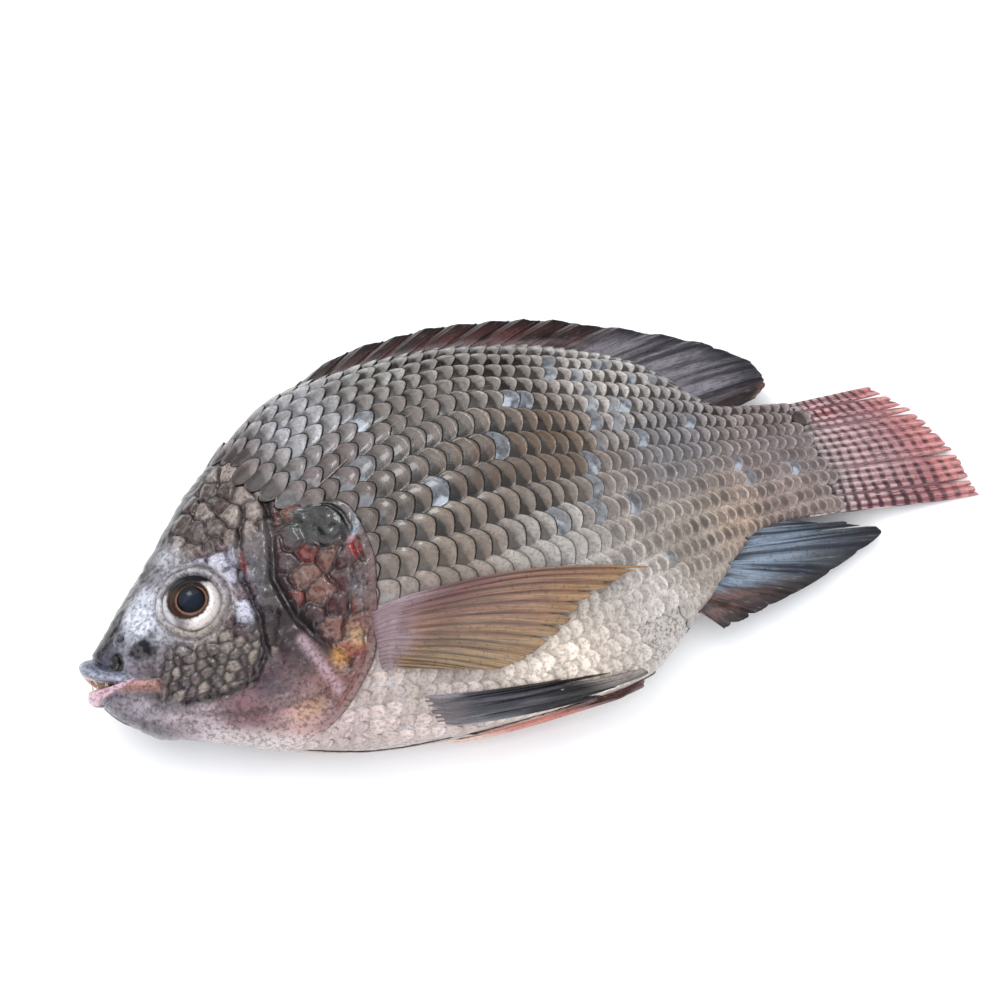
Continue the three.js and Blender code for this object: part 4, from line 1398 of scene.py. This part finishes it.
# teeth and lateral line
def toothRecipe():
    tree = Recipe("small_teeth", {
        "Length": "Float", "Width": "Float", "Seed": "Int", "Material": "Material"})
    cone = tree.make("GeometryNodeMeshCone", inputs={
        "Vertices": 6, "Side Segments": 2, "Radius Top": toothLook["tip"] * mm,
        "Radius Bottom": tree.given("Width"),
        "Depth": tree.given("Length")}, output="Mesh")
    turned = tree.make("FunctionNodeAlignRotationToVector", {"axis": "Z"}, {
        "Vector": tree.named("points_to")})
    size = tree.make("FunctionNodeRandomValue", {"data_type": "FLOAT"}, {
        2: 0.7, 3: 1.2, "Seed": tree.given("Seed")})
    laid = tree.make("GeometryNodeInstanceOnPoints", inputs={
        "Points": tree.given("Geometry"), "Instance": cone, "Rotation": turned, "Scale": size})
    tree.end(tree.make("GeometryNodeRealizeInstances", inputs={"Geometry": laid}))
    return tree


toothLook = {"length": 1.3, "width": 0.36, "tip": 0.12, "inside": 0.9}
# angle of the first and the last tooth of a side, how many, and which way they lean in a and h
toothRows = [(80, 20, 3, (0.2, -1.0)), (-76, -40, 3, (0.1, 1.0))]


def toothSeats():
    seats, directions = [], []
    for first, last, count, lean in toothRows:
        for side in (1, -1):
            rise = np.linspace(first, last, count)
            a, h, share = gapeLoop(rise)
            angle = np.where(share < 0.03, np.radians(rise), angleAt(a, h))
            realH, w = shapeAt(a, angle)
            a = a + toothLook["inside"]
            seats.append(settle(a, realH + 0.4 * lean[1], side * w * 0.9))
            tip = settle(a + lean[0], realH + 1.4 * lean[1], side * w * 0.9)
            directions.append(tip - seats[-1])
    return makePiece("tooth_seats", np.concatenate(seats), [], {"points_to": np.concatenate(directions)})


lateralLine = [(86, 27), (98, 34), (119, 43.7), (140, 49.4), (165, 51)]  # a and h
lineLook = {"steps": 60, "girth": 0.30, "least": 0.05, "lift": 0.95, "room": 1.1, "tone": "766a62"}


def lateralLineTube(side):
    look = lineLook
    reach = np.linspace(0, 1, look["steps"])
    shares = np.linspace(0, 1, len(lateralLine))
    a, h = (curveThrough(shares, [point[i] for point in lateralLine])(reach) for i in (0, 1))
    h = h + 0.25 * grain(a, 0 * a, 3.0, 71)
    realH, w = shapeAt(a, angleAt(a, h))
    points = settle(a, realH, side * (w + look["lift"]), floorAt(a, h, side, look["room"]))
    girth = look["girth"] * smooth(reach, 0, 0.06) * smooth(-reach, -1, -0.7) + look["least"]
    return rayLines("line", [(points, girth, np.repeat(colour(look["tone"])[None], len(a), 0))])


# the studio
studio = {
    "elevation": math.radians(63), "azimuth": math.radians(-18.46), "distance": 0.62, "lens": 63.96,
    "aim": (152.1, 17.75, 20.0),  # a and h of the point looked at, and its height above the table
    "floorSize": 3.0, "worldTint": (0.93, 0.96, 1.0, 1), "worldStrength": 0.8,
}
# place and aim in metres, size, power, tint, and how much of it shows as a highlight
lights = {
    "window": ((-0.35, 0.75, 1.1), (0, 0, 0), (1.4, 1.0), 9, (1.0, 0.99, 0.97), 0.22),
    "overhead": ((0.2, -0.1, 1.5), (0, 0, 0), (2.0, 2.0), 12, (0.97, 0.98, 1.0), 0.10),
    "front fill": ((-0.5, -1.1, 0.8), (0, 0, 0), (1.4, 1.2), 9, (0.96, 0.98, 1.0), 0.10),
    "glint": ((-0.15, 0.45, 0.9), (-0.05, 0, 0), (0.16, 0.16), 1.3, (1.0, 1.0, 1.0), 1.0),
}


def setCamera():
    aim = settle(studio["aim"][0], studio["aim"][1], 0.0)
    aim[2] = studio["aim"][2] * mm
    el, az = studio["elevation"], studio["azimuth"]
    back = Vector((math.sin(az) * math.cos(el), -math.cos(az) * math.cos(el), math.sin(el)))
    data = bpy.data.cameras.new("camera")
    data.lens, data.sensor_width = studio["lens"], 36
    camera = bpy.data.objects.new("camera", data)
    camera.location = Vector(aim) + back * studio["distance"]
    camera.rotation_euler = back.to_track_quat("Z", "Y").to_euler()
    bpy.context.scene.collection.objects.link(camera)
    bpy.context.scene.camera = camera


def addSoftLight(name, place, aim, size, power, tint, shine):
    data = bpy.data.lights.new(name, "AREA")
    data.shape, data.size, data.size_y = "RECTANGLE", size[0], size[1]
    data.energy, data.color, data.specular_factor = power, tint, shine
    light = bpy.data.objects.new(name, data)
    light.location = place
    light.rotation_euler = (Vector(place) - Vector(aim)).to_track_quat("Z", "Y").to_euler()
    bpy.context.scene.collection.objects.link(light)


def setStudio():
    size = studio["floorSize"]
    finish = Finish("pale table")
    fleck = finish.noise(finish.place(), 40, 2)
    white = finish.blend(finish.step(fleck, 0.3, 0.7), (0.93, 0.93, 0.935), (0.95, 0.95, 0.95))
    finish.finish({"Base Color": white, "Roughness": 0.6, "Specular IOR Level": 0.2})
    corners = [(-size, -size, 0), (size, -size, 0), (size, size, 0), (-size, size, 0)]
    makePiece("table", corners, [(0, 1, 2, 3)], material=finish.material)
    for name, light in lights.items():
        addSoftLight(name, *light)
    world = bpy.data.worlds.new("studio")
    world.use_nodes = True
    background = world.node_tree.nodes["Background"].inputs
    background["Color"].default_value = studio["worldTint"]
    background["Strength"].default_value = studio["worldStrength"]
    world.cycles_visibility.glossy = False  # keeps the wet skin dark between its highlights
    bpy.context.scene.world = world
    bpy.context.scene.view_settings.view_transform = "Standard"


# putting the fish together
sides = ((1, "left"), (-1, "right"))
stage("head and trunk skin")
wetSkin = skinFinish("wet skin")
headPiece = headSkin(wetSkin)
hand(headPiece, "body")
points, tones = trunkSkin()
trunkPiece = loftPiece("trunk_skin", points, tones, wetSkin)
keepAbove(trunkPiece)
hand(trunkPiece, "body")

stage("scales")
scales = scaleFinish()
blank = blankScale()
laidScales = scaleRecipe()
scaleSeed = 11
for side, sideName in sides:
    sheet = flankSheet(side)
    seats = seatsFrom(trunkSeats(side, np.random.default_rng(scaleSeed + side)))
    piece = laidScales.run(seats, sideName + "_scales", {
        "Sheet": sheet, "Blank": blank, "Seed": scaleSeed + side, "Turn": 0.07, "Spread": 0.05,
        "Material": scales})
    bpy.data.objects.remove(sheet)
    keepAbove(piece, 0.1)
    hand(piece, "body")
    stage(f"{piece.name}: {len(piece.data.polygons)} faces")
bpy.data.objects.remove(blank)

stage("eyes, teeth and lateral line")
eyeCoat = eyeFinish()
for side, sideName in sides:
    hand(eyeBall(side, f"{sideName}_eyeball", eyeCoat), f"{sideName}_eye")
toothCoat = Finish("tooth")
toothNoise = toothCoat.noise(toothCoat.place(), 800, 2)
toothTone = toothCoat.blend(toothNoise, (0.62, 0.50, 0.36), (0.70, 0.62, 0.52))
toothCoat.finish({"Base Color": toothTone, "Roughness": 0.3})
teeth = toothRecipe().run(toothSeats(), "teeth", {
    "Length": toothLook["length"] * mm, "Width": toothLook["width"] * mm, "Seed": 5,
    "Material": toothCoat.material})
hand(teeth, "body")
rays = rayRecipe()
lineCoat = skinFinish("lateral line", 900)
for side, sideName in sides:
    line = rays.run(lateralLineTube(side), f"{sideName}_lateral_line", {"Sides": 6, "Material": lineCoat})
    turnOutwards(line)
    keepAbove(line)
    hand(line, "body")

stage("fins")
coats = {name: finFinish(name + " fin") for name in ("dorsal", "anal", "tail", "breast", "belly")}


def withRoot(table, outline, sink):
    return [(s, a, float(outline(a)) + sink, tipA, tipH) for s, a, tipA, tipH in table]


def deeper(table, sink):
    return [(s, a - sink, h, tipA, tipH) for s, a, h, tipA, tipH in table]


def addFin(node, look, place, tone, coat, slot):
    edge = raggedEdge(look["rays"], **look["edge"])
    hand(finSheet(node + "_web", look, place, edge, tone, coat), node)
    hand(finRays(node + "_rays", look, place, edge, tone, rays, coat), node)


middleFins = {
    "dorsal": (withRoot(dorsalRays, topAt, -rootSink), dorsalTone),
    "anal": (withRoot(analRays, bottomAt, rootSink), analTone),
    "tail": (deeper(tailRays, 7), tailTone),
}
for name, (table, tone) in middleFins.items():
    look = fins[name]
    addFin(name + "_fin", look, medianPlace(table, look["sag"]), tone, coats[name], name + "_fin_skin")


def pectoralPlace(side):
    rootA, rootH, tipA, tipH = columns(pectoralRays)

    def place(s, t):
        a = mix(rootA(s) - 4, tipA(s), t)
        h = mix(rootH(s), tipH(s), t) + fins["pectoral"]["bow"] * np.sin(math.pi * t) * (1 - s)
        lift = (1.9 if side > 0 else 0.9) * smooth(t, 0.0, 0.12) + 0.6
        return settle(a, h, side * (flankAt(a, h) + lift), finFloor)

    return place


def pelvicPlace(side, turn):
    rootA, rootAngle, tipA, tipAngle = columns(pelvicRays)

    def place(s, t):
        a = mix(rootA(s) - 2, tipA(s), t)
        angle = np.radians(mix(rootAngle(s), tipAngle(s), t) - turn)
        h, w = shapeAt(a, angle)
        lift = 1.5 * smooth(t, 0, 0.1) - 0.4
        return settle(a, h + lift * np.sin(angle), side * (w + lift * np.cos(angle)), finFloor)

    return place


for side, sideName in sides:
    breast = fins["pectoral"] if side > 0 else dict(fins["pectoral"], thick=1.0, thin=0.5, swell=0)
    addFin(sideName + "_pectoral_fin", breast, pectoralPlace(side), pectoralTone, coats["breast"],
           "pectoral_fin_skin")
    addFin(sideName + "_pelvic_fin", fins["pelvic"], pelvicPlace(side, 0 if side > 0 else 8),
           pelvicTone if side > 0 else redPelvicTone, coats["belly"], "pelvic_fin_skin")

stage("table, lights and camera")
setStudio()
setCamera()


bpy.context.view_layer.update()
stage("done")
